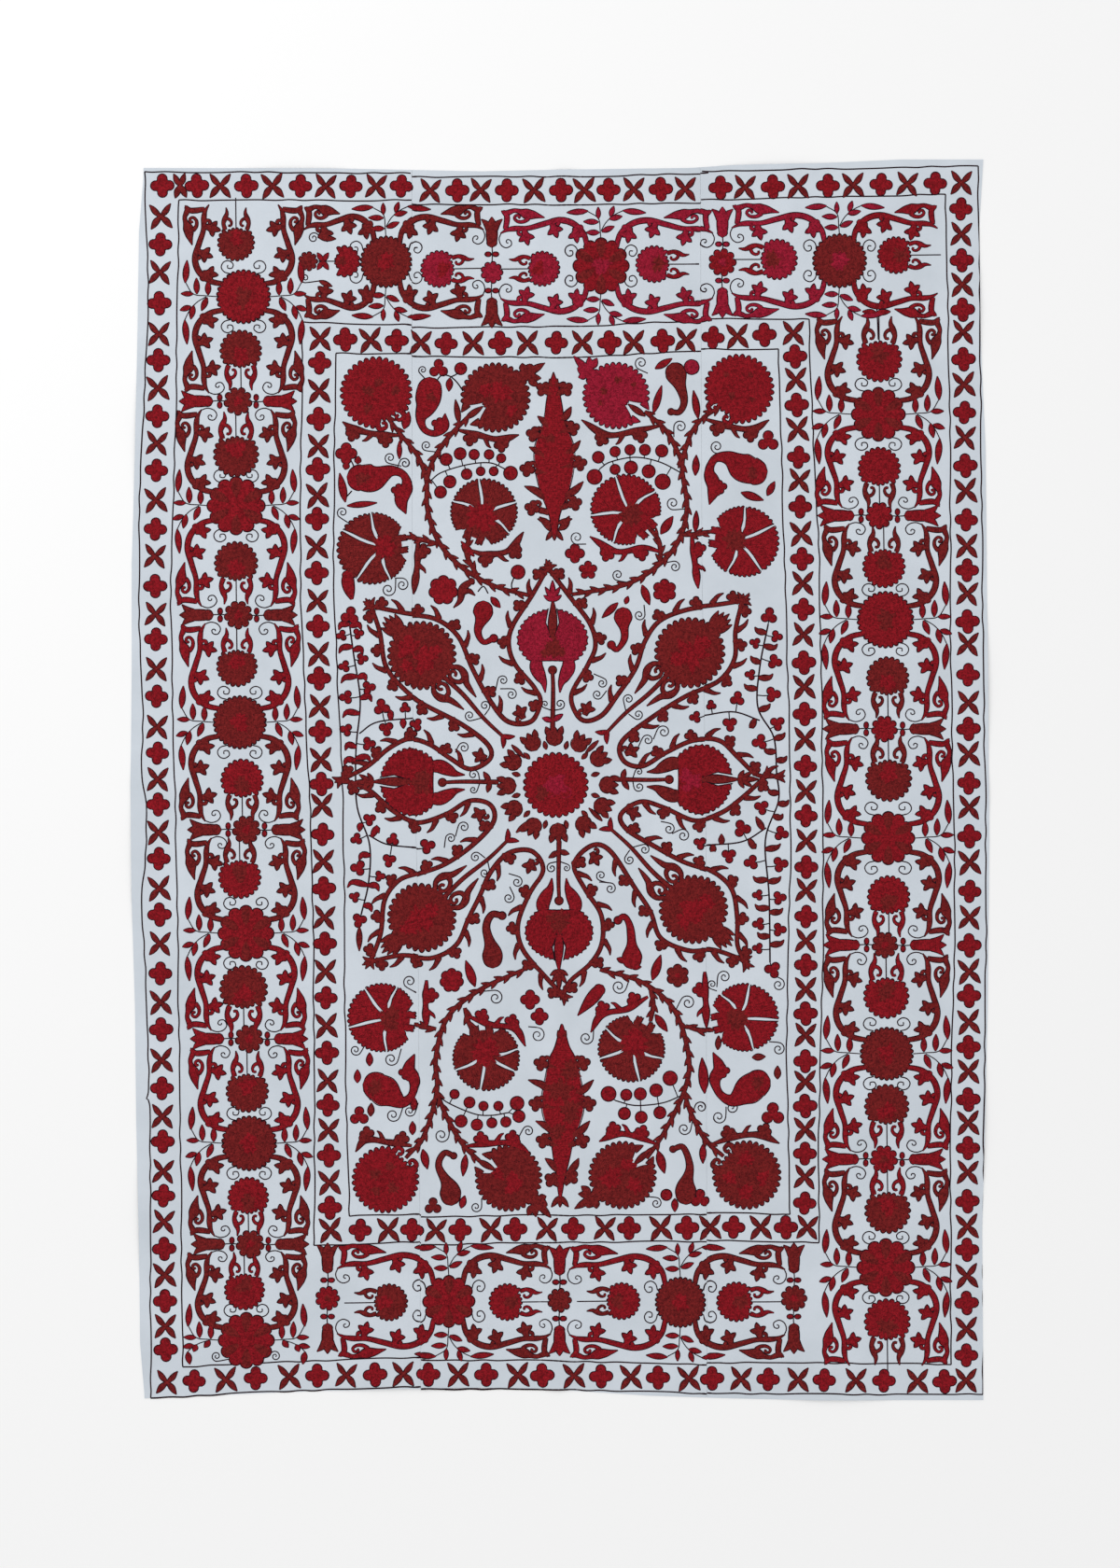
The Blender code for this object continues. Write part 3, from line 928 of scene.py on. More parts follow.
# The wide border, side by side. A row is: what, x, y, radius, thread and heart, and then the thread of a
# round flower's sepals, of a rosette's arms before and after it, or of a cross's tulips.
# A round flower opens back, to the side's start (up or left), or on, to its end.
# A rosette has fine scallops or twelve deep petals.
WIDE_BORDERS = {
    "left": [
        ("on", 253, 260, 20, "brown", "red", "brown"),
        ("fine", 261, 318, 29, "red", "brown", "brown brown"),
        ("back", 258, 376, 22.6, "brown", "red", "red"),
        ("cross", 255, 430, 14, "brown", "red", "red"),
        ("on", 253, 487, 24.5, "brown", "red", "red"),
        ("deep", 253, 542, 30.6, "brown", "red", "brown red"),
        ("back", 253, 603.5, 23.5, "brown", "red", "red"),
        ("cross", 255.5, 659, 14, "brown", "red", "brown"),
        ("on", 254, 714, 22, "brown", "red", "red"),
        ("fine", 257, 774, 28.6, "brown", "red", "red brown"),
        ("back", 259.5, 836, 23, "red", "brown", "brown"),
        ("cross", 264, 889, 14, "brown", "red", "brown"),
        ("on", 257, 940, 23, "red", "brown", "brown"),
        ("deep", 263.6, 1000, 29.5, "brown", "red", "brown red"),
        ("back", 261, 1060, 26, "brown", "red", "red"),
        ("cross", 267, 1113, 14, "brown", "red", "red"),
        ("on", 265, 1169, 23, "brown", "red", "red"),
        ("fine", 267, 1225, 29.5, "brown", "red", "red brown"),
        ("back", 266, 1283, 22, "red", "brown", "red"),
        ("cross", 268, 1333, 14, "brown", "red", "brown"),
        ("on", 262, 1382, 21.7, "red", "brown", "red"),
        ("deep", 264, 1436, 29.5, "brown", "red", "brown none"),
    ],
    "right": [
        ("on", 942, 385, 24.6, "red", "brown", "brown"),
        ("deep", 941, 444, 28.4, "brown", "red", "brown red"),
        ("back", 942, 502, 23, "red", "red", "brown"),
        ("cross", 942, 552.5, 13.4, "red", "red", "red"),
        ("on", 947, 607, 23, "red", "brown", "brown"),
        ("fine", 948.6, 664, 30.4, "red", "brown", "brown red"),
        ("back", 951, 726.5, 23, "brown", "red", "brown"),
        ("cross", 947.5, 781, 13, "red", "red", "brown"),
        ("on", 952, 834, 25, "brown", "red", "brown"),
        ("deep", 951.5, 898, 28, "brown", "red", "red brown"),
        ("back", 952, 961, 23, "red", "brown", "red"),
        ("cross", 948, 1012.5, 13, "brown", "red", "red"),
        ("on", 949.5, 1067, 24.5, "red", "brown", "red"),
        ("fine", 950, 1129, 28.5, "brown", "red", "brown red"),
        ("back", 950, 1185.5, 24, "brown", "red", "red"),
        ("cross", 947, 1242, 13.7, "red", "brown", "red"),
        ("on", 951, 1297, 24.8, "brown", "red", "red"),
        ("deep", 949, 1358, 30.5, "red", "red", "brown red"),
        ("back", 950.6, 1416, 24.8, "red", "brown", "brown"),
    ],
    "top": [
        ("small", 330, 280, 9.6, "brown", "brown", ""),
        ("fine", 413.6, 281, 27.7, "brown", "red", "brown brown"),
        ("back", 470.6, 288, 20, "crimson", "red", "red"),
        ("cross", 527, 292, 11, "crimson", "crimson", "brown"),
        ("on", 581, 288, 19, "crimson", "red", "red"),
        ("deep", 644, 285, 29.6, "red", "crimson", "crimson crimson"),
        ("back", 701, 283, 20, "crimson", "brown", "red"),
        ("cross", 774, 281.5, 13.7, "red", "crimson", "crimson"),
        ("on", 832.6, 278, 22, "crimson", "brown", "red"),
        ("fine", 899.5, 279.5, 29, "brown", "crimson", "crimson red"),
        ("back", 960, 273.5, 20, "red", "brown", "red"),
    ],
    "bottom": [
        ("cross", 351, 1391, 12, "red", "brown", "brown"),
        ("on", 417, 1395.6, 20, "brown", "red", "brown"),
        ("deep", 481, 1394, 27.4, "red", "red", "red brown"),
        ("back", 543.6, 1395, 20, "red", "brown", "red"),
        ("cross", 599.5, 1393, 12, "brown", "brown", "red"),
        ("on", 666, 1394, 20, "red", "brown", "brown"),
        ("fine", 729, 1395, 27, "brown", "red", "red brown"),
        ("back", 789, 1395, 21.5, "red", "brown", "red"),
        ("cross", 850.6, 1391, 13, "brown", "red", "brown"),
    ],
}
ROSETTE_TO_CROSS = 114.0
ARM_REACHES = (60.0, 140.0)
DRAFTED_HALF_BAND = 67.0
TULIP_REACH = 63.0
CRIMSON_TWIGS_FROM = 500.0
# A round flower's stalk ends this far from a cross that is near enough, or this far past the flower
STALK_ROOM = 44.0
STALK_END = 10.0
FREE_STALK = 28.0
# Where the arms stop at the ends of a side that have no cross
ARM_ENDS = {"left": [211.0], "right": [], "top": [318.0], "bottom": []}
HALF_BANDS = {"left": 67.0, "right": 70.0, "top": 63.0, "bottom": 63.0}


# A cross of the narrow bands: the room at which it is narrowest and full, its least width, how much it tilts
# and how much its size varies
TIGHT_ROOM = 22.0
FULL_ROOM = 50.0
LEAST_CROSS = 0.35
CROSS_TILT = 4.0
CROSS_GROWTH = 0.03


def narrow_bands():
    """Crosses and quatrefoils by turns. A cross is squeezed where its neighbours leave it little room."""
    for axis, cross_first, run, places in NARROW_BANDS:
        stations, sides = np.array(run, float).T[::1 if axis == "x" else -1]
        for index, place in enumerate(places):
            side = float(np.interp(place, stations, sides))
            wobble = math.sin(place * 0.7 + side)
            at = (place, side) if axis == "x" else (side, place)
            spot = Spot(*at, CROSS_TILT * wobble, 1.0 + CROSS_GROWTH * wobble)
            if index % 2 == cross_first:
                quatrefoil(spot)
                continue
            if 0 < index < len(places) - 1:
                room = places[index + 1] - places[index - 1]
                squeeze = min(max((room - TIGHT_ROOM) / (FULL_ROOM - TIGHT_ROOM), LEAST_CROSS), 1.0)
                spot.stretch, spot.widen = (squeeze, 1.0) if axis == "x" else (1.0, squeeze)
            leaf_cross(spot)


def wide_border(side, rows):
    """One side of the wide border. Along it runs down or to the right."""
    upright = side in ("left", "right")
    turned = -90.0 if upright else 0.0
    width = HALF_BANDS[side] / DRAFTED_HALF_BAND
    crosses = [row[2] if upright else row[1] for row in rows if row[0] == "cross"]
    for what, x, y, radius, thread, heart, others in rows:
        here = y if upright else x
        if what in ("on", "back"):
            turn = turned + (90 if what == "back" else -90)
            gap = min(abs(here - cross) for cross in crosses)
            stalk = gap - STALK_END if gap < radius + STALK_ROOM else radius + FREE_STALK
            round_flower(thread, Spot(x, y, turn), radius, heart, others, stalk)
        elif what == "cross":
            cross_unit(thread, Spot(x, y, turned), radius, heart, others, TULIP_REACH * width)
        elif what == "small":
            small_unit(x, y, radius)
        else:
            rosette(thread, Spot(x, y), radius, heart, 30 if what == "fine" else 12)
            arms_of(Spot(x, y, turned), here, crosses, ARM_ENDS[side], others.split(), width)
            twigs = "crimson" if side == "top" and x > CRIMSON_TWIGS_FROM else "red"
            for flip in (1, -1):
                sprig(twigs, Spot(x, y, turned + 90, width, flip), 0.5 if "none" in others else 1.0)


def small_unit(x, y, radius):
    """The small rosette at the left end of the top side, with four leaves and half a flower."""
    line([(x, y), (x + 30, y)])
    for across in (-1, 1):
        for along in (-1, 1):
            leaf("red", (x + 16, y), (x + 16 + 6 * along, y + 9 * across), 5.0)
    radii = scallops(14, 17.0, 0.13, 9)
    left = off_by(np.linspace(0, 360, len(radii), endpoint=False), 180)
    blob("red", Spot(x + 39, y), radii * np.where(left < 60, 0.62, 1.0), radial=True)
    patch("brown", Spot(x + 36, y), (0, 0), 6.0, 3)
    blob("brown", Spot(x, y), lobes(9, radius * 0.8, radius * 0.28))
    leaf("brown", (x + 12, y - 25), (x + 30, y - 24), 6.0)
    leaf("brown", (x + 12, y + 21), (x + 26, y + 27), 5.0)
    tendril((x + 13, y - 25), (x + 6, y - 25), 6.0, -1, 1.5)
    tendril((x + 13, y + 21), (x - 3, y + 18), 5.0, 1, 1.5)


def arms_of(spot, here, crosses, ends, threads, width):
    """The arms, with their tendrils, on each side of a rosette."""
    least, most = ARM_REACHES
    for flip, thread in zip((-1, 1), threads):
        if thread == "none":
            continue
        reaches = [flip * (stop - here) for stop in crosses + ends]
        reaches = [reach for reach in reaches if least < reach < most]
        coiled = any(least < flip * (cross - here) < most for cross in crosses)
        reach = (reaches[0] if reaches else ROSETTE_TO_CROSS) / ROSETTE_TO_CROSS
        for turn, mirror in ((spot.turn, flip), (spot.turn + 180, -flip)):
            quarter = Spot(spot.x, spot.y, turn, 1.0, mirror, reach, width)
            arm(thread, quarter, coiled)
            line(quarter(np.array(ROSETTE_TENDRIL) * (1 / reach, 1)), step=1.5)


def borders():
    """The frame lines, which waver a little, and all that lies between them."""
    for rank, points in enumerate(FRAME_LINES):
        curve = smooth(points, int(travel(points)[-1] / FRAME_LINE_STEP))
        place = np.arange(len(curve)) + rank * 17
        wobble = 0.45 * np.sin(place * 0.9 + 2 * np.sin(place * 0.37)) + 0.35 * np.sin(place * 0.31 + rank)
        across = sideways(np.gradient(curve, axis=0)) * wobble[:, None]
        across[[0, -1]] = 0
        line(curve + across, FRAME_LINE_WIDTH, step=3.5)
    narrow_bands()
    for side, rows in WIDE_BORDERS.items():
        wide_border(side, rows)


# The pattern of the field. Places are on the draft.

LEAF_FRAMES_LEFT = [
    [(586, 610), (570, 638), (550, 669), (545, 690), (552, 712), (572, 736), (579, 752), (569, 773),
     (544, 773), (524, 749), (506, 716), (491, 682), (467, 663), (432, 657), (399, 650)],
    [(398, 651), (407, 678), (413, 713), (430, 736), (452, 753), (493, 775), (522, 797), (525, 813),
     (504, 824), (482, 812), (460, 797), (439, 792), (417, 802), (394, 821), (367, 835)],
    [(372, 837), (396, 847), (421, 869), (446, 881), (478, 872), (503, 858), (525, 862), (529, 880),
     (508, 904), (478, 925), (448, 936), (427, 944), (412, 965), (408, 1000), (398, 1028)],
    [(399, 1030), (430, 1024), (463, 1026), (489, 1012), (502, 984), (514, 960), (526, 934), (545, 914),
     (570, 912), (582, 932), (567, 958), (555, 990), (560, 1017), (583, 1045), (603, 1066)],
]
LEAF_FRAMES_RIGHT = [
    [(589, 611), (611, 640), (632, 668), (638, 692), (629, 714), (612, 746), (623, 771), (644, 767),
     (662, 744), (681, 716), (691, 687), (707, 665), (736, 653), (770, 648), (795, 644)],
    [(795, 645), (788, 676), (787, 706), (770, 730), (736, 745), (698, 769), (666, 795), (668, 815),
     (688, 821), (714, 806), (743, 793), (771, 794), (791, 812), (811, 830), (832, 832)],
    [(820, 832), (795, 855), (773, 871), (745, 879), (711, 865), (686, 859), (665, 873), (672, 889),
     (700, 906), (732, 923), (763, 934), (784, 953), (790, 985), (790, 1012), (798, 1031)],
    [(795, 1028), (764, 1018), (737, 1018), (708, 1005), (697, 977), (680, 951), (654, 912), (634, 906),
     (615, 926), (627, 953), (644, 980), (645, 1010), (633, 1032), (612, 1050), (604, 1063)],
]
MAIN_STEMS = [
    ((414, 446), (430, 467), (448, 489), (457, 515), (458, 545), (470, 580), (495, 608), (530, 628),
     (567, 638)),
    ((502, 446), (480, 469), (464, 493), (457, 515)),
    ((771, 436), (746, 455), (734, 482), (731, 504), (736, 543), (728, 577), (707, 604), (671, 626),
     (613, 637)),
    ((691, 441), (714, 462), (729, 491), (731, 504)),
    ((561, 1039), (515, 1060), (480, 1089), (467, 1132), (468, 1169), (454, 1217), (435, 1241)),
    ((468, 1169), (478, 1195), (496, 1226), (515, 1245)),
    ((643, 1039), (689, 1053), (723, 1083), (738, 1133), (733, 1169), (711, 1214), (693, 1241)),
    ((733, 1169), (741, 1194), (758, 1224), (775, 1239)),
    ((468, 582), (448, 577), (434, 576)),
    ((512, 618), (500, 594), (503, 574)),
    ((732, 573), (746, 572), (762, 570)),
    ((708, 604), (706, 580), (694, 564)),
    ((498, 1080), (502, 1095), (511, 1113)),
    ((467, 1102), (456, 1100), (444, 1098)),
    ((697, 1062), (700, 1076), (697, 1094)),
    ((735, 1099), (748, 1103), (764, 1104)),
]

# Carnations: petals, heart, x, y, radius, slits, the stem's angle, the heart's radius, and how far the
# heart is off the middle
CARNATIONS = [
    ("brown", "red", 413, 586, 38.5, (114, 159, 228, 278), 8, 9, 14),
    ("brown", "red", 516, 555, 36.0, (94, 25, -28, 149), -112, 12, 7),
    ("red", "brown", 677, 552, 38.0, (113, 46, 180, 235), -42, 9, 9),
    ("red", "brown", 787, 579, 38.0, (72, 21, -48, -102), 172, 9, 10),
    ("red", "brown", 419, 1092, 37.0, (131, 80, 191, 262), -8, 9, 10),
    ("brown", "red", 520, 1126, 36.0, (3, -35, 263, 213), 98, 11, 7),
    ("brown", "red", 680, 1117, 36.0, (154, 205, 277, -30), 62, 11, 7.5),
    ("red", "brown", 789, 1092, 36.5, (122, 69, -1, -60), 192, 9, 9),
]

# Blossoms: petals, blotches, x, y, radius, stem's angle, blotches' places, crown's angle
BLOSSOMS = [
    ("red", "brown", 403, 421, 38.7, -62, ((395, 419, 7), (424, 419, 6), (406, 410, 6), (394, 438, 6)),
     None),
    ("brown", "red", 531, 426, 37.5, -145, ((536, 420, 12), (520, 418, 8), (548, 440, 7)), 38),
    ("crimson", "brown", 660, 424, 36, -35, ((662, 407, 5), (647, 419, 5), (679, 412, 4), (643, 432, 4)),
     140),
    ("red", "brown", 792, 417, 37.5, -128, ((778, 402, 4), (804, 402, 4), (806, 428, 4), (784, 424, 5)),
     None),
    ("red", "brown", 413, 1264, 36, 47, ((402, 1258, 7), (421, 1273, 7), (418, 1250, 6), (403, 1276, 6)),
     None),
    ("brown", "red", 545, 1262, 36, 150, ((550, 1268, 11), (534, 1258, 7)), -40),
    ("brown", "red", 667, 1259, 36.5, 43, ((655, 1262, 12), (680, 1270, 9), (672, 1248, 8)), -142),
    ("brown", "red", 800, 1259, 37, 142, ((799, 1242, 9), (817, 1262, 8), (799, 1277, 9), (782, 1262, 8)),
     None),
]

# Sprays: thread, path, and where each lobe lies
SPRAYS = [
    ("brown", [(428, 467), (400, 465), (378, 459), (367, 452)], [(377, 468), (395, 473), (413, 471)]),
    ("brown", [(492, 461), (512, 466), (535, 471), (556, 466)], [(504, 470), (520, 476), (537, 477)]),
    ("brown", [(505, 590), (520, 594), (545, 590), (561, 570)], [(520, 599), (538, 601), (556, 596)]),
    ("brown", [(707, 456), (680, 462), (650, 466), (623, 450)], [(645, 470), (666, 471), (686, 467)]),
    ("brown", [(757, 450), (780, 457), (806, 460), (824, 450)], [(768, 461), (786, 467), (804, 466)]),
    ("red", [(707, 591), (690, 587), (660, 591), (632, 575)], [(650, 595), (669, 596), (687, 593)]),
    ("red", [(741, 574), (744, 600), (748, 630)], [(750, 588), (753, 606)]),
    ("brown", [(448, 578), (447, 606), (443, 636)], [(456, 590), (456, 607)]),
    ("brown", [(441, 1228), (415, 1224), (392, 1221), (381, 1234)],
     [(393, 1213), (411, 1212), (431, 1219)]),
    ("red", [(500, 1228), (526, 1225), (550, 1225), (568, 1236)], [(515, 1218), (533, 1216), (549, 1218)]),
    ("red", [(502, 1089), (526, 1098), (552, 1102), (563, 1121)], [(516, 1089), (533, 1094), (548, 1096)]),
    ("red", [(457, 1050), (456, 1075), (457, 1101)], [(465, 1066), (464, 1084)]),
    ("brown", [(764, 1226), (788, 1218), (814, 1216), (835, 1225)],
     [(780, 1214), (798, 1208), (819, 1211)]),
    ("red", [(702, 1225), (680, 1217), (660, 1215), (642, 1223)], [(657, 1208), (673, 1207), (688, 1213)]),
    ("red", [(694, 1068), (672, 1081), (645, 1087), (633, 1106)], [(680, 1072), (662, 1077), (646, 1081)]),
    ("red", [(755, 1041), (756, 1070), (757, 1101)], [(749, 1060), (749, 1082)]),
]

# Paisleys and other curved forms: thread, path and widths
PAISLEYS = [
    ("red",
     [(460, 404), (460, 418), (457, 434), (451, 448), (455, 460), (466, 464), (475, 457), (477, 443)],
     [20, 26, 26, 18, 9, 6, 7, 11, 0.4]),
    ("red",
     [(372, 511), (386, 512), (402, 512), (419, 505), (432, 509), (436, 521), (430, 536), (435, 551)],
     [18, 26, 29, 17, 9, 8, 14, 13, 0.4]),
    ("red", [(518, 644), (517, 660), (512, 676), (518, 688), (529, 684)], [18, 21, 11, 7, 5, 6]),
    ("red", [(667, 651), (668, 667), (669, 684), (661, 696), (655, 691)], [16, 19, 9, 7, 5, 6]),
    ("brown", [(528, 1037), (527, 1018), (521, 994), (527, 980), (538, 981)], [16, 21, 11, 8, 7, 6]),
    ("red", [(677, 1038), (677, 1016), (675, 993), (669, 982), (662, 986)], [16, 21, 10, 8, 6, 6]),
    ("brown", [(720, 389), (727, 408), (733, 429), (728, 441), (719, 441)], [18, 22, 12, 8, 6, 5]),
    ("red",
     [(822, 505), (808, 505), (794, 500), (780, 491), (766, 492), (760, 506), (765, 522), (760, 541)],
     [20, 27, 30, 17, 9, 8, 14, 12, 0.4]),
    ("red",
     [(389, 1162), (402, 1164), (416, 1172), (431, 1181), (441, 1174), (444, 1158), (438, 1146),
      (444, 1130)], [20, 28, 32, 18, 9, 8, 13, 11, 0.4]),
    ("brown", [(484, 1291), (481, 1271), (470, 1249), (476, 1235), (486, 1238)], [16, 22, 11, 7, 6, 5]),
    ("red",
     [(825, 1157), (812, 1161), (799, 1170), (784, 1179), (771, 1172), (766, 1157), (771, 1145),
      (764, 1128)], [20, 28, 30, 17, 9, 8, 13, 11, 0.4]),
    ("brown", [(735, 1290), (735, 1270), (739, 1249), (732, 1229), (721, 1231)], [16, 22, 11, 7, 6, 5]),
    ("red", [(373, 611), (373, 625), (377, 642)], [3, 12, 13, 10, 3]),
    ("brown", [(508, 621), (496, 630), (493, 643), (486, 651)], [3, 7, 8, 5, 0.4]),
    ("brown", [(495, 636), (502, 633), (509, 638)], [4, 5, 0.4]),
    ("red", [(646, 1056), (634, 1070), (619, 1088)], [9, 13, 12, 7, 0.4]),
]

# Lobed leaves on the tails of the paisleys: foot and turn
TAIL_LEAVES = [
    (431, 527, 80), (474, 456, 70), (767, 523, -80), (439, 1150, 85), (770, 1148, -85),
]

# Small leaves: thread, foot, tip and width
SMALL_LEAVES = [
    ("red", (939, 335), (924, 334), 6), ("red", (939, 335), (954, 334), 6),
    ("brown", (591, 561), (576, 556), 5), ("brown", (597, 561), (613, 556), 5),
    ("red", (370, 538), (364, 507), 8), ("red", (372, 542), (404, 539), 6),
    ("red", (433, 460), (438, 442), 9), ("brown", (492, 454), (488, 428), 6),
    ("red", (428, 492), (428, 473), 5), ("red", (383, 497), (384, 489), 7),
    ("red", (370, 503), (372, 495), 7), ("red", (508, 596), (494, 580), 6),
    ("red", (526, 640), (536, 651), 7), ("red", (702, 395), (720, 384), 7),
    ("red", (700, 443), (709, 413), 7), ("red", (748, 448), (743, 418), 7),
    ("red", (745, 509), (746, 487), 7), ("red", (794, 528), (818, 536), 8),
    ("red", (822, 531), (830, 516), 7), ("red", (708, 572), (721, 553), 9),
    ("red", (745, 570), (746, 547), 6), ("red", (688, 627), (696, 648), 8),
    ("red", (662, 646), (645, 662), 7), ("red", (670, 647), (673, 639), 5),
    ("red", (509, 1057), (499, 1029), 9), ("red", (396, 1142), (396, 1128), 7),
    ("red", (383, 1160), (383, 1146), 7), ("red", (443, 1190), (444, 1176), 7),
    ("red", (442, 1216), (442, 1202), 7), ("brown", (397, 1196), (398, 1182), 7),
    ("red", (453, 1231), (458, 1252), 8), ("red", (499, 1237), (496, 1260), 7),
    ("red", (494, 1294), (498, 1281), 7), ("red", (699, 1050), (708, 1023), 9),
    ("red", (702, 1087), (715, 1105), 8), ("red", (755, 1171), (752, 1133), 10),
    ("brown", (806, 1133), (820, 1132), 7), ("brown", (833, 1156), (833, 1142), 7),
    ("brown", (769, 1125), (770, 1110), 6), ("red", (705, 1233), (712, 1257), 9),
    ("red", (753, 1226), (753, 1246), 7), ("red", (661, 1027), (672, 1031), 6),
    ("red", (676, 1036), (687, 1036), 6), ("brown", (385, 993), (385, 1019), 6),
    ("red", (723, 1284), (723, 1298), 7), ("red", (482, 405), (481, 419), 7),
]
BERRIES = [
    ([(461, 515), (473, 506), (500, 498), (525, 496), (542, 503)],
     [(478, 492, 6.5), (493, 486, 6.4), (508, 487, 5.5), (524, 487, 5.2), (537, 491, 4.9),
      (500, 508, 5.7), (515, 505, 4.7), (529, 505, 4.8), (547, 507, 7.4), (482, 516, 6.6),
      (472, 527, 6.4)]),
    ([(731, 507), (707, 495), (680, 490), (654, 495), (643, 502)],
     [(641, 490, 6.3), (659, 484, 5.5), (675, 482, 5.5), (691, 482, 5.9), (709, 483, 6.6),
      (659, 503, 5.4), (676, 501, 7), (695, 505, 7), (637, 511, 8), (710, 516, 8.2)]),
    ([(468, 1169), (478, 1180), (507, 1193), (526, 1195), (545, 1192)],
     [(487, 1172, 5), (503, 1181, 5.9), (518, 1185, 5), (534, 1185, 5), (554, 1182, 7.4),
      (494, 1201, 6.5), (511, 1205, 6.1), (527, 1203, 5.4), (542, 1202, 5.5), (556, 1196, 6.5)]),
    ([(729, 1174), (712, 1181), (693, 1184), (677, 1184), (659, 1179)],
     [(652, 1172, 8), (671, 1173, 6), (686, 1172, 6.5), (703, 1168, 6.8), (718, 1155, 7.7),
      (669, 1193, 6.5), (687, 1197, 6.4), (707, 1192, 6.5)]),
]

# Brown spots in the cypresses and paisleys: x, y and radius
MOTTLES = [
    (611, 1147, 11), (600, 1168, 13), (611, 1190, 12), (598, 1212, 9), (590, 470, 6), (812, 1160, 8),
    (388, 513, 8), (462, 425, 6), (402, 1165, 9), (806, 507, 7),
]

# Thin stalks that join a paisley or a leaf to its neighbours
TWIGS = [
    [(467, 409), (473, 402), (482, 403), (490, 410), (496, 419)], [(482, 404), (489, 401), (493, 396)],
    [(380, 503), (377, 495), (372, 490)], [(369, 535), (377, 526)], [(512, 634), (518, 628), (523, 636)],
    [(553, 638), (548, 628), (551, 618)], [(939, 326), (940, 340), (941, 364)],
]

# Free spirals: x, y, radius and the start of their thread
COILS = [
    (232, 1453, 5.5, 246, 1456), (295, 1453, 5.5, 282, 1456), (453, 396, 4.6, 458, 408),
    (367, 549, 6, 376, 562), (418, 491, 6, 430, 500), (434, 497, 6, 424, 507), (457, 477, 5.5, 468, 484),
    (416, 632, 7.5, 424, 620), (431, 627, 7, 423, 620), (539, 729, 5.5, 531, 740),
    (548, 744, 6, 536, 738), (497, 801, 6, 488, 806), (483, 898, 5.5, 476, 908), (497, 886, 6, 488, 896),
    (554, 945, 6, 545, 936), (545, 962, 6, 546, 950), (645, 732, 5.5, 636, 722),
    (640, 744, 5.5, 650, 740), (694, 793, 6, 684, 800), (711, 784, 7, 700, 792), (717, 888, 6, 708, 880),
    (732, 895, 7, 720, 893), (644, 938, 5.5, 652, 946), (654, 952, 6, 642, 945), (687, 389, 7, 694, 400),
    (729, 457, 7, 722, 468), (768, 479, 7, 778, 487), (721, 539, 7, 733, 545), (618, 576, 7, 628, 583),
    (723, 607, 6, 712, 603), (662, 616, 6, 672, 624), (685, 659, 6, 690, 648), (531, 1069, 8, 519, 1062),
    (439, 1052, 7, 446, 1064), (381, 1125, 6, 392, 1118), (419, 1135, 7.5, 430, 1124),
    (421, 1195, 7.5, 432, 1186), (439, 1191, 6, 448, 1182), (473, 1216, 8, 482, 1206),
    (576, 1109, 8, 566, 1100), (510, 1293, 6, 516, 1284), (566, 1212, 6, 556, 1218),
    (663, 1057, 8, 674, 1050), (737, 1074, 8, 724, 1082), (776, 1047, 7, 768, 1058),
    (763, 1055, 5, 768, 1062), (751, 1186, 6.5, 742, 1194), (770, 1197, 7.5, 778, 1186),
    (784, 1187, 7, 776, 1180), (733, 1209, 7, 742, 1200), (628, 1112, 7.5, 636, 1102),
    (834, 1124, 7, 824, 1116), (703, 1289, 6, 694, 1282), (834, 1055, 7, 826, 1044),
]

# Round and lobed flowers: thread, heart, x, y, radius, lobes
SMALL_FLOWERS = [
    ("red", "red", 475, 632, 16, 7), ("red", "red", 712, 633, 13, 6), ("red", "red", 484, 1050, 13, 7),
    ("brown", "red", 726, 1045, 12.5, 6), ("red", "red", 616, 593, 9, 4), ("red", "red", 630, 611, 10, 5),
    ("red", "red", 568, 1071, 9, 4), ("red", "red", 578, 1089, 8, 4), ("red", "red", 470, 395, 9, 3),
    ("red", "red", 371, 486, 10, 4), ("red", "red", 823, 473, 10, 3), ("red", "red", 385, 1196, 9, 3),
    ("brown", "brown", 464, 1292, 8, 3), ("red", "red", 828, 1194, 11, 3),
    ("red", "red", 750, 1284, 9, 3), ("red", "red", 493.6, 395, 6.4, 1), ("red", "red", 555, 613, 7.5, 1),
    ("crimson", "crimson", 741, 393, 8, 1), ("red", "red", 714, 1280, 6, 1),
]

# Cypresses: path and widths from top to foot, then the places of the leaves and thorns at their sides
CYPRESSES = [
    {
        "path": [(593, 400), (594, 490), (594, 573)],
        "widths": [0.5, 9, 13, 17, 20, 25, 33, 41, 44, 43, 40, 35, 29, 20, 12, 8, 6],
        "leaves": [(571, 465), (562, 502), (569, 544), (613, 459), (623, 496), (616, 539), (584, 418),
                   (604, 418)],
        "thorns": [(576, 449), (567, 482), (562, 524), (578, 557), (612, 439), (622, 475), (625, 519),
                   (610, 556)],
    },
    {
        "path": [(602, 1098), (603, 1190), (600, 1287)],
        "widths": [2, 9, 16, 28, 34, 39, 44, 46, 44, 37, 28, 22, 18, 13, 8, 5, 0.5],
        "leaves": [(579, 1139), (572, 1182), (582, 1222), (593, 1265), (625, 1139), (633, 1182),
                   (624, 1222), (610, 1263)],
        "thorns": [(566, 1160), (574, 1204), (584, 1244), (636, 1160), (632, 1204), (620, 1244)],
    },
]

# The buds round the centre, the leaves in the bays of the medallion, and its middle
BUDS = [
    (570, 795), (594, 789), (621, 796), (642, 812), (652, 841), (646, 864), (626, 884), (598, 892),
    (571, 886), (550, 867), (543, 842), (549, 816),
]
STAR_LEAVES = [
    (558, 764), (515, 810), (568, 927), (629, 760), (676, 805), (678, 871), (637, 919), (514, 872),
]
CENTRE = (595.5, 841.0)

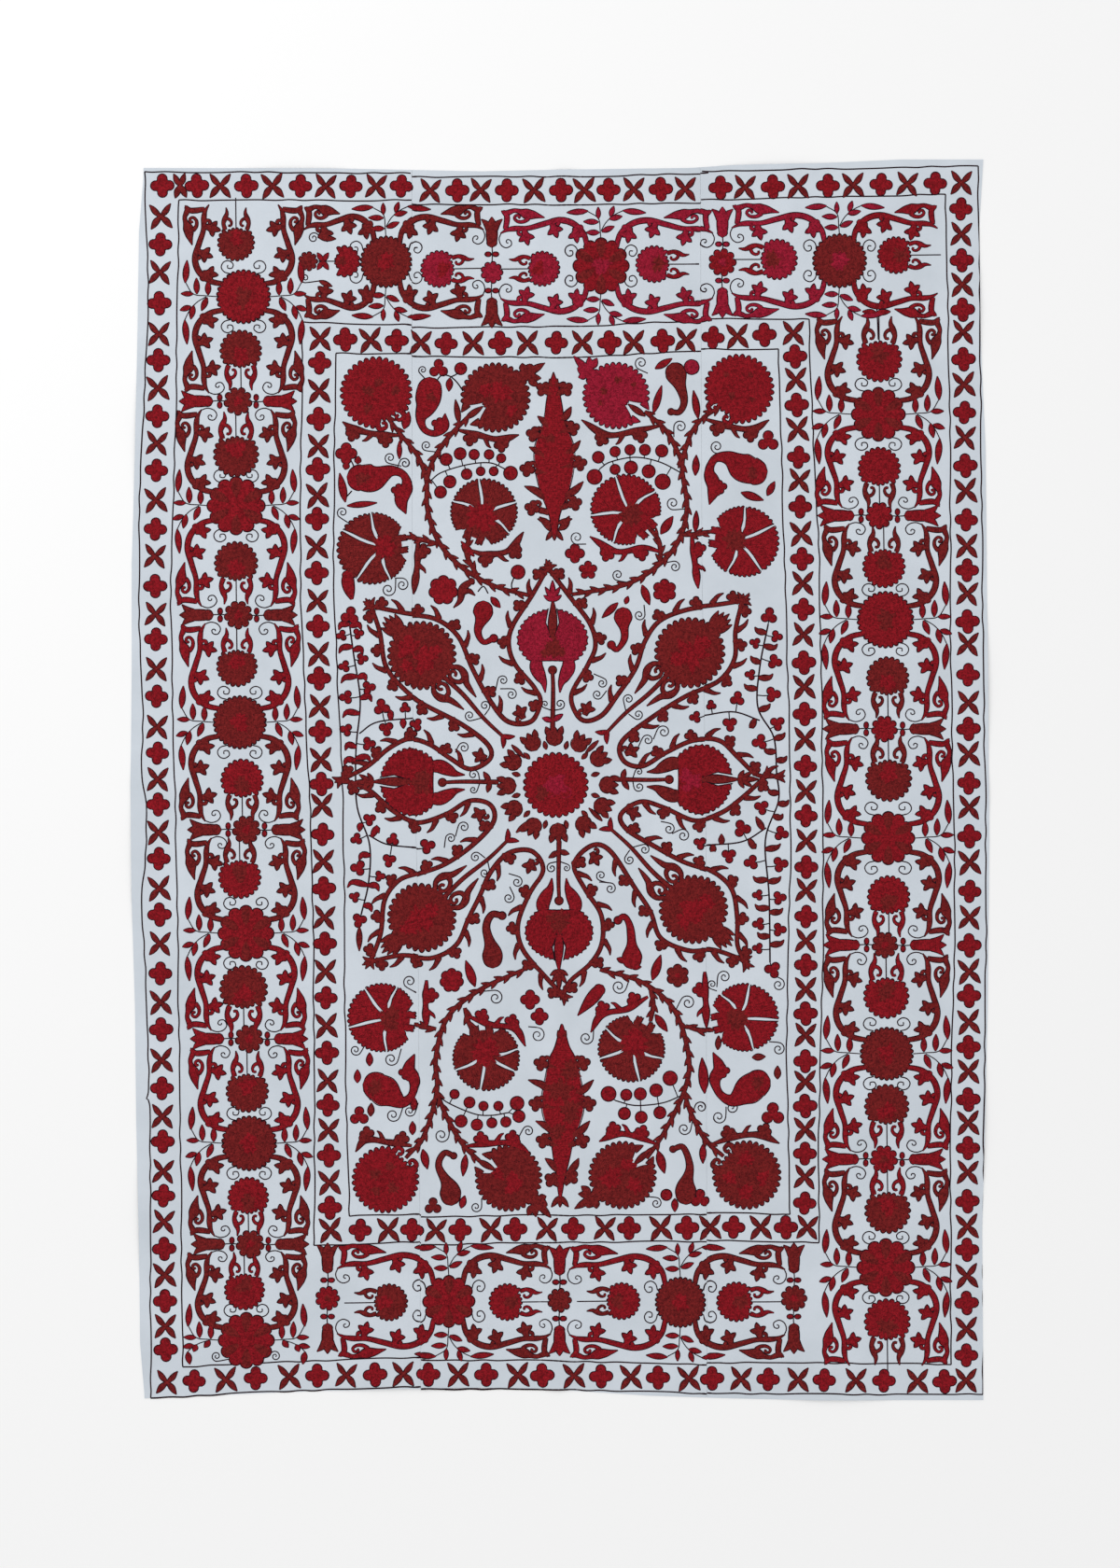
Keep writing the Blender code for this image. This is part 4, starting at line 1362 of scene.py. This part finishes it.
# The two thin vines at the sides: stem, twigs, three-lobed leaves with their widths, and small leaves
LEFT_VINE = [
    (374, 665), (379, 702), (386, 750), (382, 795), (381, 826), (383, 866), (396, 905), (395, 945),
    (387, 980),
]
LEFT_TWIGS = [[(385, 786), (404, 774), (443, 770)], [(395, 895), (415, 905), (448, 909)]]
LEFT_TREFOILS = [
    (375, 660, 20), (366, 681, 12), (384, 679, 12), (388, 706, 13), (369, 714, 13), (395, 737, 15),
    (371, 747, 15), (409, 758, 18), (434, 759, 12), (414, 781, 16), (446, 776, 14), (371, 782, 14),
    (395, 797, 15), (396, 878, 14), (382, 899, 13), (384, 930, 17), (407, 939, 12), (380, 961, 12),
    (385, 986, 16), (421, 900, 14), (458, 906, 17), (417, 922, 15),
]
LEFT_VINE_LEAVES = [
    (366, 670), (384, 670), (367, 695), (386, 696), (370, 727), (390, 725), (372, 764), (395, 747),
    (373, 799), (393, 812), (372, 815), (418, 763), (432, 776), (386, 886), (404, 888), (388, 917),
    (403, 950), (378, 946), (396, 972),
]
RIGHT_VINE = [
    (823, 669), (814, 715), (812, 758), (829, 790), (832, 828), (834, 858), (820, 900), (824, 960),
    (825, 1031),
]
RIGHT_TWIGS = [[(814, 772), (786, 763), (754, 767)], [(821, 887), (795, 902), (757, 906)]]
RIGHT_TREFOILS = [
    (824, 660, 18), (809, 689, 12), (832, 682, 13), (830, 709, 16), (804, 723, 12), (828, 744, 17),
    (790, 749, 16), (762, 756, 11), (782, 776, 16), (745, 768, 13), (833, 775, 16), (814, 795, 17),
    (816, 865, 16), (837, 893, 16), (795, 888, 19), (750, 903, 14), (781, 917, 16), (805, 924, 16),
    (836, 926, 17), (812, 959, 12), (835, 962, 15), (813, 990, 14), (835, 996, 15), (812, 1016, 12),
    (828, 1039, 18),
]
RIGHT_VINE_LEAVES = [
    (812, 677), (829, 695), (807, 708), (824, 727), (801, 738), (822, 759), (805, 780), (838, 790),
    (822, 806), (840, 815), (826, 850), (842, 862), (812, 880), (836, 877), (808, 909), (832, 909),
    (811, 944), (833, 944), (813, 974), (835, 978), (815, 1004), (836, 1012), (773, 899), (764, 914),
]


def centre_rosette():
    """The rosette in the very middle, with twelve buds and twelve small leaves round it."""
    x, y = CENTRE
    spot = Spot(x, y)
    rosette("red", spot, 35, "crimson", 28, 0)
    for off_x, off_y in ((-8, 5), (8, 6)):
        ribbon("crimson", np.array([(0, 0), (6, -3), (8, 4), (1, 8), (-5, 3)]) + (x + off_x, y + off_y),
               [3.0, 3.0, 2.6, 2.0], layer=0.4, edge=0)
    patch("brown", spot, (-15, -9), 8, 5, 1)
    for bud_x, bud_y in BUDS:
        bud = Spot(bud_x, bud_y, turn_from(CENTRE, bud_x, bud_y))
        body = bud([(0, -10), (0, -3), (0, 4)])
        ribbon("brown", body, [15.0, 18.0, 19.0, 17.0, 14.0], step=1.5, blunt=True)
        for across in (-8, 0, 8):
            leaf("brown", bud((across * 0.6, 0)), bud((across * 1.1, 10.5)), 6.5)
    for turn in range(12):
        leaf("brown", *(spot(polar(turn * 30 + 15, reach)) for reach in (39.5, 48.5)), 4.6)


def side_leaf(foot, x, y):
    """A round-lobed leaf beside a cypress."""
    ribbon("brown", [foot, ((foot[0] + x) / 2, (foot[1] + y) / 2)], [6.0, 6.5])
    middle = ((foot[0] + x * 2) / 3, (foot[1] + y * 2) / 3)
    cloud_leaf("brown", Spot(*middle, turn_from(foot, x, y)), 0.95, 1 if x > foot[0] else -1)


def cypress(path, widths, leaves, thorns):
    """A tall spindle with leaves and thorns on both sides, and a small tuft at each end."""
    ribbon("red", path, widths, step=2.2)
    for x, y in leaves:
        side_leaf((path[1][0] + (x - path[1][0]) * 0.25, y + 5), x, y)
    for x, y in thorns:
        middle = path[1][0]
        leaf("brown", (middle + (x - middle) * 0.3, y + 12), (x, y - 3), 7.5, 0.1)
    top, foot = path[0], path[-1]
    for off in (-7, 0, 7):
        leaf("brown", (foot[0], foot[1] - 6), (foot[0] + off * 1.3, foot[1] + 6), 5.0)
        leaf("brown", (top[0], top[1] + 19), (top[0] + off * 0.6, top[1] + abs(off) - 1), 5.5)


def medallion():
    """The star of leaves in the middle of the field, with all that grows in and from it."""
    for points in LEAF_FRAMES_LEFT:
        frame_vine(points, 1)
    for points in LEAF_FRAMES_RIGHT:
        frame_vine(points, -1)
    leaf_rosette(452, 702, 45, 37, ((437, 693, 8), (456, 706, 9), (436, 714, 5), (466, 697, 5)))
    leaf_rosette(739, 699, -46, 38, ((742, 700, 11), (726, 706, 6), (752, 688, 6)))
    leaf_rosette(452, 983, 132, 37, ((450, 985, 9), (438, 995, 6), (462, 975, 6)))
    leaf_rosette(743, 974, -134, 37, ((743, 975, 9), (757, 966, 6), (733, 986, 6)))
    pomegranate("crimson", "brown", "brown", "crimson", "crimson", 592, 680, 0, 38.5, 0.84, 63)
    pomegranate("red", "brown", "red", "brown", "red", 599, 1003, 180, 37, 0.82, 60)
    pomegranate("red", "brown", "brown", "brown", "red", 436, 838, 90, 37, 0.9, 56)
    pomegranate("red", "crimson", "brown", "brown", "brown", 755, 835, -90, 38, 0.9, 54)
    for x, y in STAR_LEAVES:
        turn = turn_from(CENTRE, x, y)
        ivy("brown", Spot(*Spot(x, y, turn)((0, -6)), turn), 0.95)
    centre_rosette()


def field():
    """All that is sewn inside the inner frame."""
    medallion()
    for points in MAIN_STEMS:
        stem(points)
    for row in CARNATIONS:
        carnation(*row)
    for row in BLOSSOMS:
        blossom(*row)
    for thread, path, lobe_places in SPRAYS:
        spray(thread, path, lobe_places)
    for thread, path, widths in PAISLEYS:
        ribbon(thread, path, widths, step=1.6, blunt=True)
        if widths[-1] > 4:
            blob(thread, Spot(*path[-1]), scallops(1, widths[-1] * 0.72, 0, 20))
    for x, y, turn in TAIL_LEAVES:
        cloud_leaf("red", Spot(x, y, turn), 0.85, 1 if turn > 0 else -1)
    for thread, foot, tip, width in SMALL_LEAVES:
        leaf(thread, foot, tip, width)
    for stem_points, fruit in BERRIES:
        berries(stem_points, fruit)
    for x, y, radius, start_x, start_y in COILS:
        tendril((start_x, start_y), (x, y), radius)
    for points in TWIGS:
        line(points, 2.0)
    for thread, heart, x, y, radius, count in SMALL_FLOWERS:
        if count == 1:
            blob(thread, Spot(x, y), scallops(1, radius, 0, 28))
            continue
        blob(thread, Spot(x, y, 90), lobes(count, radius * 0.6, radius * (0.55 if count < 5 else 0.38)))
        if heart != thread:
            patch(heart, Spot(x, y), (0, 0), radius * 0.3, int(x))
    for row in CYPRESSES:
        cypress(**row)
    blotches("brown", MOTTLES)
    side_vine(LEFT_VINE, LEFT_TWIGS, LEFT_TREFOILS, LEFT_VINE_LEAVES, "red", 1)
    side_vine(RIGHT_VINE, RIGHT_TWIGS, RIGHT_TREFOILS, RIGHT_VINE_LEAVES, "brown", -1)


# From stitches to pieces


# How far the sewn shapes are off at each seam of a panel, and how far from it, all in pixels
SEAM_STEPS = {"left": (0.0, -0.5), "middle": (0.5, 0.4), "right": (-0.4, 0.0)}
SEAM_REACH = 70.0
SEAM_MARGIN = 2.0
STITCH_GAP = 0.06 * MM
MERGE_DISTANCE = 0.02 * MM
THIN_AREA = 1e-10


def seam_at(seam, y):
    """x of a seam on the draft, in pixels, for places y on it."""
    return ORIGIN_X + along(seam, (ORIGIN_Y - y) * PIXEL) / PIXEL


def stitched(panel, thread):
    """What one thread sews on one panel: first the shapes clear of its seams, then those that cross one."""
    left, right = PANELS[panel]
    clear, crossing = [], []
    for entry in SEWN[thread]:
        places = entry[0]
        low, high = places[:, 0].min(), places[:, 0].max()
        at_left, at_right = seam_at(left, places[:, 1]), seam_at(right, places[:, 1])
        if high < at_left.min() - SEAM_MARGIN or low > at_right.max() + SEAM_MARGIN:
            continue
        inside = low > at_left.max() + SEAM_MARGIN and high < at_right.min() - SEAM_MARGIN
        (clear if inside else crossing).append(entry)
    return clear, crossing


def joined(name, panel, entries):
    """One mesh in metres of many sewn shapes, shifted a little at the seams."""
    starts = np.cumsum([0, *(len(places) for places, _, _, _ in entries)])
    points = np.vstack([np.column_stack([places, heights]) for places, heights, _, _ in entries])
    rows = np.vstack([stitch for _, _, stitch, _ in entries])
    faces = np.vstack([quads + start for (_, _, _, quads), start in zip(entries, starts)])
    for seam, shift in zip(PANELS[panel], SEAM_STEPS[panel]):
        off = (points[:, 0] - seam_at(seam, points[:, 1])) / SEAM_REACH
        points[:, 1] += shift * soft_bump(off)
    points[:, 0] = (points[:, 0] - ORIGIN_X) * PIXEL
    points[:, 1] = (ORIGIN_Y - points[:, 1]) * PIXEL
    corners = points[faces][:, :, :2]
    ahead, back = corners[:, 2] - corners[:, 0], corners[:, 3] - corners[:, 1]
    turned = ahead[:, 0] * back[:, 1] - ahead[:, 1] * back[:, 0] < 0
    faces[turned] = faces[turned, ::-1]
    return mesh_from(name, points, faces, rows * PIXEL)


def mesh_from(name, points, faces, rows):
    """A mesh of four-cornered faces, with its stitch rows as a UV map."""
    mesh = bpy.data.meshes.new(name)
    mesh.vertices.add(len(points))
    mesh.vertices.foreach_set("co", points.ravel())
    mesh.loops.add(faces.size)
    mesh.loops.foreach_set("vertex_index", faces.ravel())
    mesh.polygons.add(len(faces))
    mesh.polygons.foreach_set("loop_start", np.arange(0, faces.size, 4))
    mesh.update(calc_edges=True)
    layer = mesh.uv_layers.new(name="stitch_rows")
    layer.uv.foreach_set("vector", rows[faces.ravel()].ravel())
    return mesh


def cut_at(shape, seam, side):
    """Cut a shape straight down a seam, keeping the side that is given, 1 for the right."""
    for vert in shape.verts:
        vert.co.x -= float(along(seam, vert.co.y))
    everything = [*shape.verts, *shape.edges, *shape.faces]
    bmesh.ops.bisect_plane(
        shape,
        geom=everything,
        plane_co=(side * STITCH_GAP / 2, 0, 0),
        plane_no=(side, 0, 0),
        clear_inner=True,
    )
    for vert in shape.verts:
        vert.co.x += float(along(seam, vert.co.y))


def sewn_piece(name, panel, thread, material):
    """All that one thread sews on one panel, laid on the cloth, as one piece, if it sews anything there."""
    clear, crossing = stitched(panel, thread)
    shape = bmesh.new()
    if crossing:
        shape.from_mesh(joined(name + "_seams", panel, crossing))
        for side, seam in zip((1, -1), PANELS[panel]):
            cut_at(shape, seam, side)
    if clear:
        shape.from_mesh(joined(name + "_clear", panel, clear))
    bmesh.ops.remove_doubles(shape, verts=shape.verts, dist=MERGE_DISTANCE)
    thin = [face for face in shape.faces if face.calc_area() < THIN_AREA]
    bmesh.ops.delete(shape, geom=thin, context="FACES")
    mesh = bpy.data.meshes.new(name)
    shape.to_mesh(mesh)
    shape.free()
    if not mesh.polygons:
        return
    places = np.empty(len(mesh.vertices) * 3, np.float32)
    mesh.vertices.foreach_get("co", places)
    places = places.reshape(-1, 3).astype(float)
    places[:, 2] += cloth_top(places[:, 0], places[:, 1])
    mesh.vertices.foreach_set("co", places.ravel())
    mesh.update()
    mesh.shade_smooth()
    keep(name, mesh, material)


def keep(name, mesh, material):
    """Put a mesh in the scene as a piece that lies with the cloth."""
    mesh.materials.append(material)
    piece = bpy.data.objects.new(name, mesh)
    bpy.context.scene.collection.objects.link(piece)
    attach(piece, "root")
    return piece


# The cloth


def cloth_panel(panel, material):
    """One strip of cotton: a fine grid on the folds, closed round its rim."""
    left, right = PANELS[panel]
    columns = round(LOOM_WIDTH / CLOTH_STEP)
    rows = round(2 * HALF_HEIGHT / CLOTH_STEP)
    shape = bmesh.new()
    bmesh.ops.create_grid(shape, x_segments=columns, y_segments=rows, size=0.5)
    shares = np.array([vert.co[:2] for vert in shape.verts]) + 0.5
    level = -HALF_HEIGHT + 2 * HALF_HEIGHT * shares[:, 1]
    first = along(left, level) + SEAM_GAP / 2 * (panel != "left")
    last = along(right, level) - SEAM_GAP / 2 * (panel != "right")
    x = first + (last - first) * shares[:, 0]
    foot, head = along(FOOT_EDGE, x), along(HEAD_EDGE, x)
    y = foot + (head - foot) * shares[:, 1]
    for vert, point in zip(shape.verts, np.column_stack([x, y, cloth_top(x, y)])):
        vert.co = point
    lower = bmesh.ops.extrude_face_region(shape, geom=list(shape.faces), use_keep_orig=True)
    lower = [item for item in lower["geom"] if isinstance(item, bmesh.types.BMVert)]
    spread = np.array([vert.co[:2] for vert in lower])
    for vert, height in zip(lower, relief(spread[:, 0], spread[:, 1])):
        vert.co.z = height
    bmesh.ops.recalc_face_normals(shape, faces=shape.faces)
    mesh = bpy.data.meshes.new("cloth_" + panel)
    shape.to_mesh(mesh)
    shape.free()
    mesh.shade_smooth()
    mesh.set_sharp_from_angle(angle=0.9)
    piece = keep("cloth_" + panel, mesh, material)
    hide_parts("panel_" + panel)


# Materials

# Colours of the cotton and of the threads, deep and bright, in linear light
COTTON = ((0.56, 0.61, 0.665), (0.625, 0.675, 0.735))
THREADS = {
    "red": ((0.070, 0.0015, 0.003), (0.355, 0.009, 0.018)),
    "brown": ((0.052, 0.0023, 0.0034), (0.245, 0.0175, 0.0172)),
    "crimson": ((0.096, 0.0017, 0.0068), (0.425, 0.013, 0.042)),
    "dark": ((0.005, 0.002, 0.004), (0.030, 0.004, 0.009)),
}
# Width of a row of chain stitch and length of one link
ROW_PITCH = 1.7 * MM
LINK_PITCH = 3.0 * MM


def shader_of(name, roughness, sheen):
    """A new material's nodes, links and shader."""
    material = bpy.data.materials.new(name)
    material.use_nodes = True
    nodes, links = material.node_tree.nodes, material.node_tree.links
    shader = nodes["Principled BSDF"]
    shader.inputs["Roughness"].default_value = roughness
    shader.inputs["Specular IOR Level"].default_value = 0.08
    shader.inputs["Sheen Weight"].default_value = sheen
    shader.inputs["Sheen Roughness"].default_value = 0.4
    return material, nodes, links, shader


def new_node(nodes, kind, **settings):
    """A node with its own settings and its sockets' values."""
    node = nodes.new(kind)
    for key, value in settings.items():
        if hasattr(node, key):
            setattr(node, key, value)
        else:
            node.inputs[key.replace("_", " ")].default_value = value
    return node


def cotton_material():
    """Plain-woven white cotton, a little uneven and faintly stained."""
    material, nodes, links, shader = shader_of("white_cotton", 0.9, 0.1)
    place = new_node(nodes, "ShaderNodeTexCoord")
    cloud = new_node(nodes, "ShaderNodeTexNoise", Scale=7.0, Detail=5.0, Roughness=0.6)
    links.new(place.outputs["Object"], cloud.inputs["Vector"])
    tone = new_node(nodes, "ShaderNodeValToRGB")
    for element, position, colour in zip(tone.color_ramp.elements, (0.3, 0.65), COTTON):
        element.position, element.color = position, (*colour, 1)
    links.new(cloud.outputs["Fac"], tone.inputs["Fac"])
    links.new(tone.outputs["Color"], shader.inputs["Base Color"])
    both = new_node(nodes, "ShaderNodeMath", operation="ADD")
    bump = new_node(nodes, "ShaderNodeBump", Strength=0.3, Distance=0.2 * MM)
    for socket, direction in enumerate("XY"):
        wave = new_node(nodes, "ShaderNodeTexWave", Scale=420.0, Distortion=1.2, bands_direction=direction)
        links.new(place.outputs["Object"], wave.inputs["Vector"])
        links.new(wave.outputs["Fac"], both.inputs[socket])
    links.new(both.outputs[0], bump.inputs["Height"])
    links.new(bump.outputs["Normal"], shader.inputs["Normal"])
    return material


def thread_material(name, deep, bright):
    """Chain stitch: rows of links whose two plies slant together, in mottled colour, with painted shade in
    the grooves and a painted highlight on the crests of the links.
    """
    material, nodes, links, shader = shader_of(name, 0.7, 0.03)
    rows = new_node(nodes, "ShaderNodeUVMap", uv_map="stitch_rows")
    split = new_node(nodes, "ShaderNodeSeparateXYZ")
    links.new(rows.outputs["UV"], split.inputs["Vector"])

    def math_node(operation, first, second=None):
        node = new_node(nodes, "ShaderNodeMath", operation=operation)
        for socket, value in enumerate((first, second)):
            if isinstance(value, (int, float)):
                node.inputs[socket].default_value = value
            elif value is not None:
                links.new(value, node.inputs[socket])
        return node.outputs[0]

    place = new_node(nodes, "ShaderNodeTexCoord")
    sway = new_node(nodes, "ShaderNodeTexNoise", Scale=90.0, Detail=1.0, Roughness=0.5)
    links.new(place.outputs["Object"], sway.inputs["Vector"])
    across = math_node("ADD", math_node("MULTIPLY", split.outputs["Y"], 1 / ROW_PITCH),
                       math_node("MULTIPLY", sway.outputs["Fac"], 3.0))
    in_row = math_node("ABSOLUTE", math_node("SUBTRACT", math_node("FRACT", across), 0.5))
    ahead = math_node("MULTIPLY", split.outputs["X"], 1 / LINK_PITCH)
    slanted = math_node("ADD", ahead, in_row)
    link = math_node("ABSOLUTE", math_node("SUBTRACT", math_node("FRACT", slanted), 0.5))
    groove = math_node("MULTIPLY", math_node("SUBTRACT", 0.5, in_row), 2.0)
    height = math_node("ADD", math_node("MULTIPLY", groove, 0.6), link)
    bump = new_node(nodes, "ShaderNodeBump", Strength=0.6, Distance=0.5 * MM)
    links.new(height, bump.inputs["Height"])
    links.new(bump.outputs["Normal"], shader.inputs["Normal"])
    mottle = new_node(nodes, "ShaderNodeTexNoise", Scale=260.0, Detail=2.0, Roughness=0.6)
    flecks = new_node(nodes, "ShaderNodeTexNoise", Scale=640.0, Detail=1.0, Roughness=0.5)
    for noise in (mottle, flecks):
        links.new(place.outputs["Object"], noise.inputs["Vector"])
    grain = math_node("ADD", math_node("MULTIPLY", mottle.outputs["Fac"], 0.55),
                      math_node("MULTIPLY", flecks.outputs["Fac"], 0.45))
    # Random mottle plus painted shade and highlight: the colour is darker in the grooves between rows and
    # links and lighter on their crests, taken from the bump's height
    grain_and_painted_groove_shade = math_node("ADD", grain, math_node("MULTIPLY", math_node("SUBTRACT", height, 0.6), 0.22))
    tone = new_node(nodes, "ShaderNodeValToRGB")
    for element, position, colour in zip(tone.color_ramp.elements, (0.34, 0.66), (deep, bright)):
        element.position, element.color = position, (*colour, 1)
    links.new(grain_and_painted_groove_shade, tone.inputs["Fac"])
    links.new(tone.outputs["Color"], shader.inputs["Base Color"])
    return material


# The floor, the light and the camera

FLOOR_HALF = 4.0
FLOOR_DROP = 0.2 * MM
LAMP_SIZE = 3.0
LAMP_POWER = 34.0
LAMP_PLACE = (-2.6, 2.4, 2.4)
CAMERA_HEIGHT = 6.0
FILM_HEIGHT = 36.0
DRAFT_HEIGHT = 1680


def stage():
    """A pale floor just under the cloth, and a soft light from all round and from the upper left."""
    shape = bmesh.new()
    bmesh.ops.create_grid(shape, x_segments=1, y_segments=1, size=FLOOR_HALF)
    bmesh.ops.translate(shape, verts=shape.verts, vec=(0, 0, -FLOOR_DROP))
    mesh = bpy.data.meshes.new("floor")
    shape.to_mesh(mesh)
    shape.free()
    floor = bpy.data.objects.new("floor", mesh)
    bpy.context.scene.collection.objects.link(floor)
    material, _, _, shader = shader_of("pale_floor", 0.95, 0.0)
    shader.inputs["Base Color"].default_value = (0.93, 0.93, 0.93, 1)
    mesh.materials.append(material)

    world = bpy.data.worlds.new("soft_light")
    world.use_nodes = True
    background = world.node_tree.nodes["Background"]
    background.inputs["Color"].default_value = (1, 1, 1, 1)
    background.inputs["Strength"].default_value = 0.9
    bpy.context.scene.world = world
    light = bpy.data.lights.new("window", "AREA")
    light.size, light.energy = LAMP_SIZE, LAMP_POWER
    lamp = bpy.data.objects.new("window", light)
    lamp.location = LAMP_PLACE
    lamp.rotation_euler = (math.radians(40), 0, math.radians(225))
    bpy.context.scene.collection.objects.link(lamp)


def camera():
    """Straight above, with the draft's frame of 1200 by 1680 pixels."""
    lens = bpy.data.cameras.new("camera")
    lens.sensor_fit = "VERTICAL"
    lens.sensor_height = FILM_HEIGHT
    lens.sensor_width = FILM_HEIGHT
    lens.lens = FILM_HEIGHT * CAMERA_HEIGHT / (DRAFT_HEIGHT * PIXEL)
    view = bpy.data.objects.new("camera", lens)
    view.location = (0.0, (ORIGIN_Y - DRAFT_HEIGHT / 2) * PIXEL, CAMERA_HEIGHT)
    bpy.context.scene.collection.objects.link(view)
    bpy.context.scene.camera = view
    bpy.context.scene.view_settings.view_transform = "Standard"


def main():
    """Draw every stitch, then lay the three panels and sew each thread on to them."""
    borders()
    field()
    threads = {name: thread_material(name + "_thread", *tones) for name, tones in THREADS.items()}
    cotton = cotton_material()
    for panel in PANELS:
        cloth_panel(panel, cotton)
        for thread, material in threads.items():
            sewn_piece(f"{thread}_stitches_{panel}", panel, thread, material)
    stage()
    camera()


main()
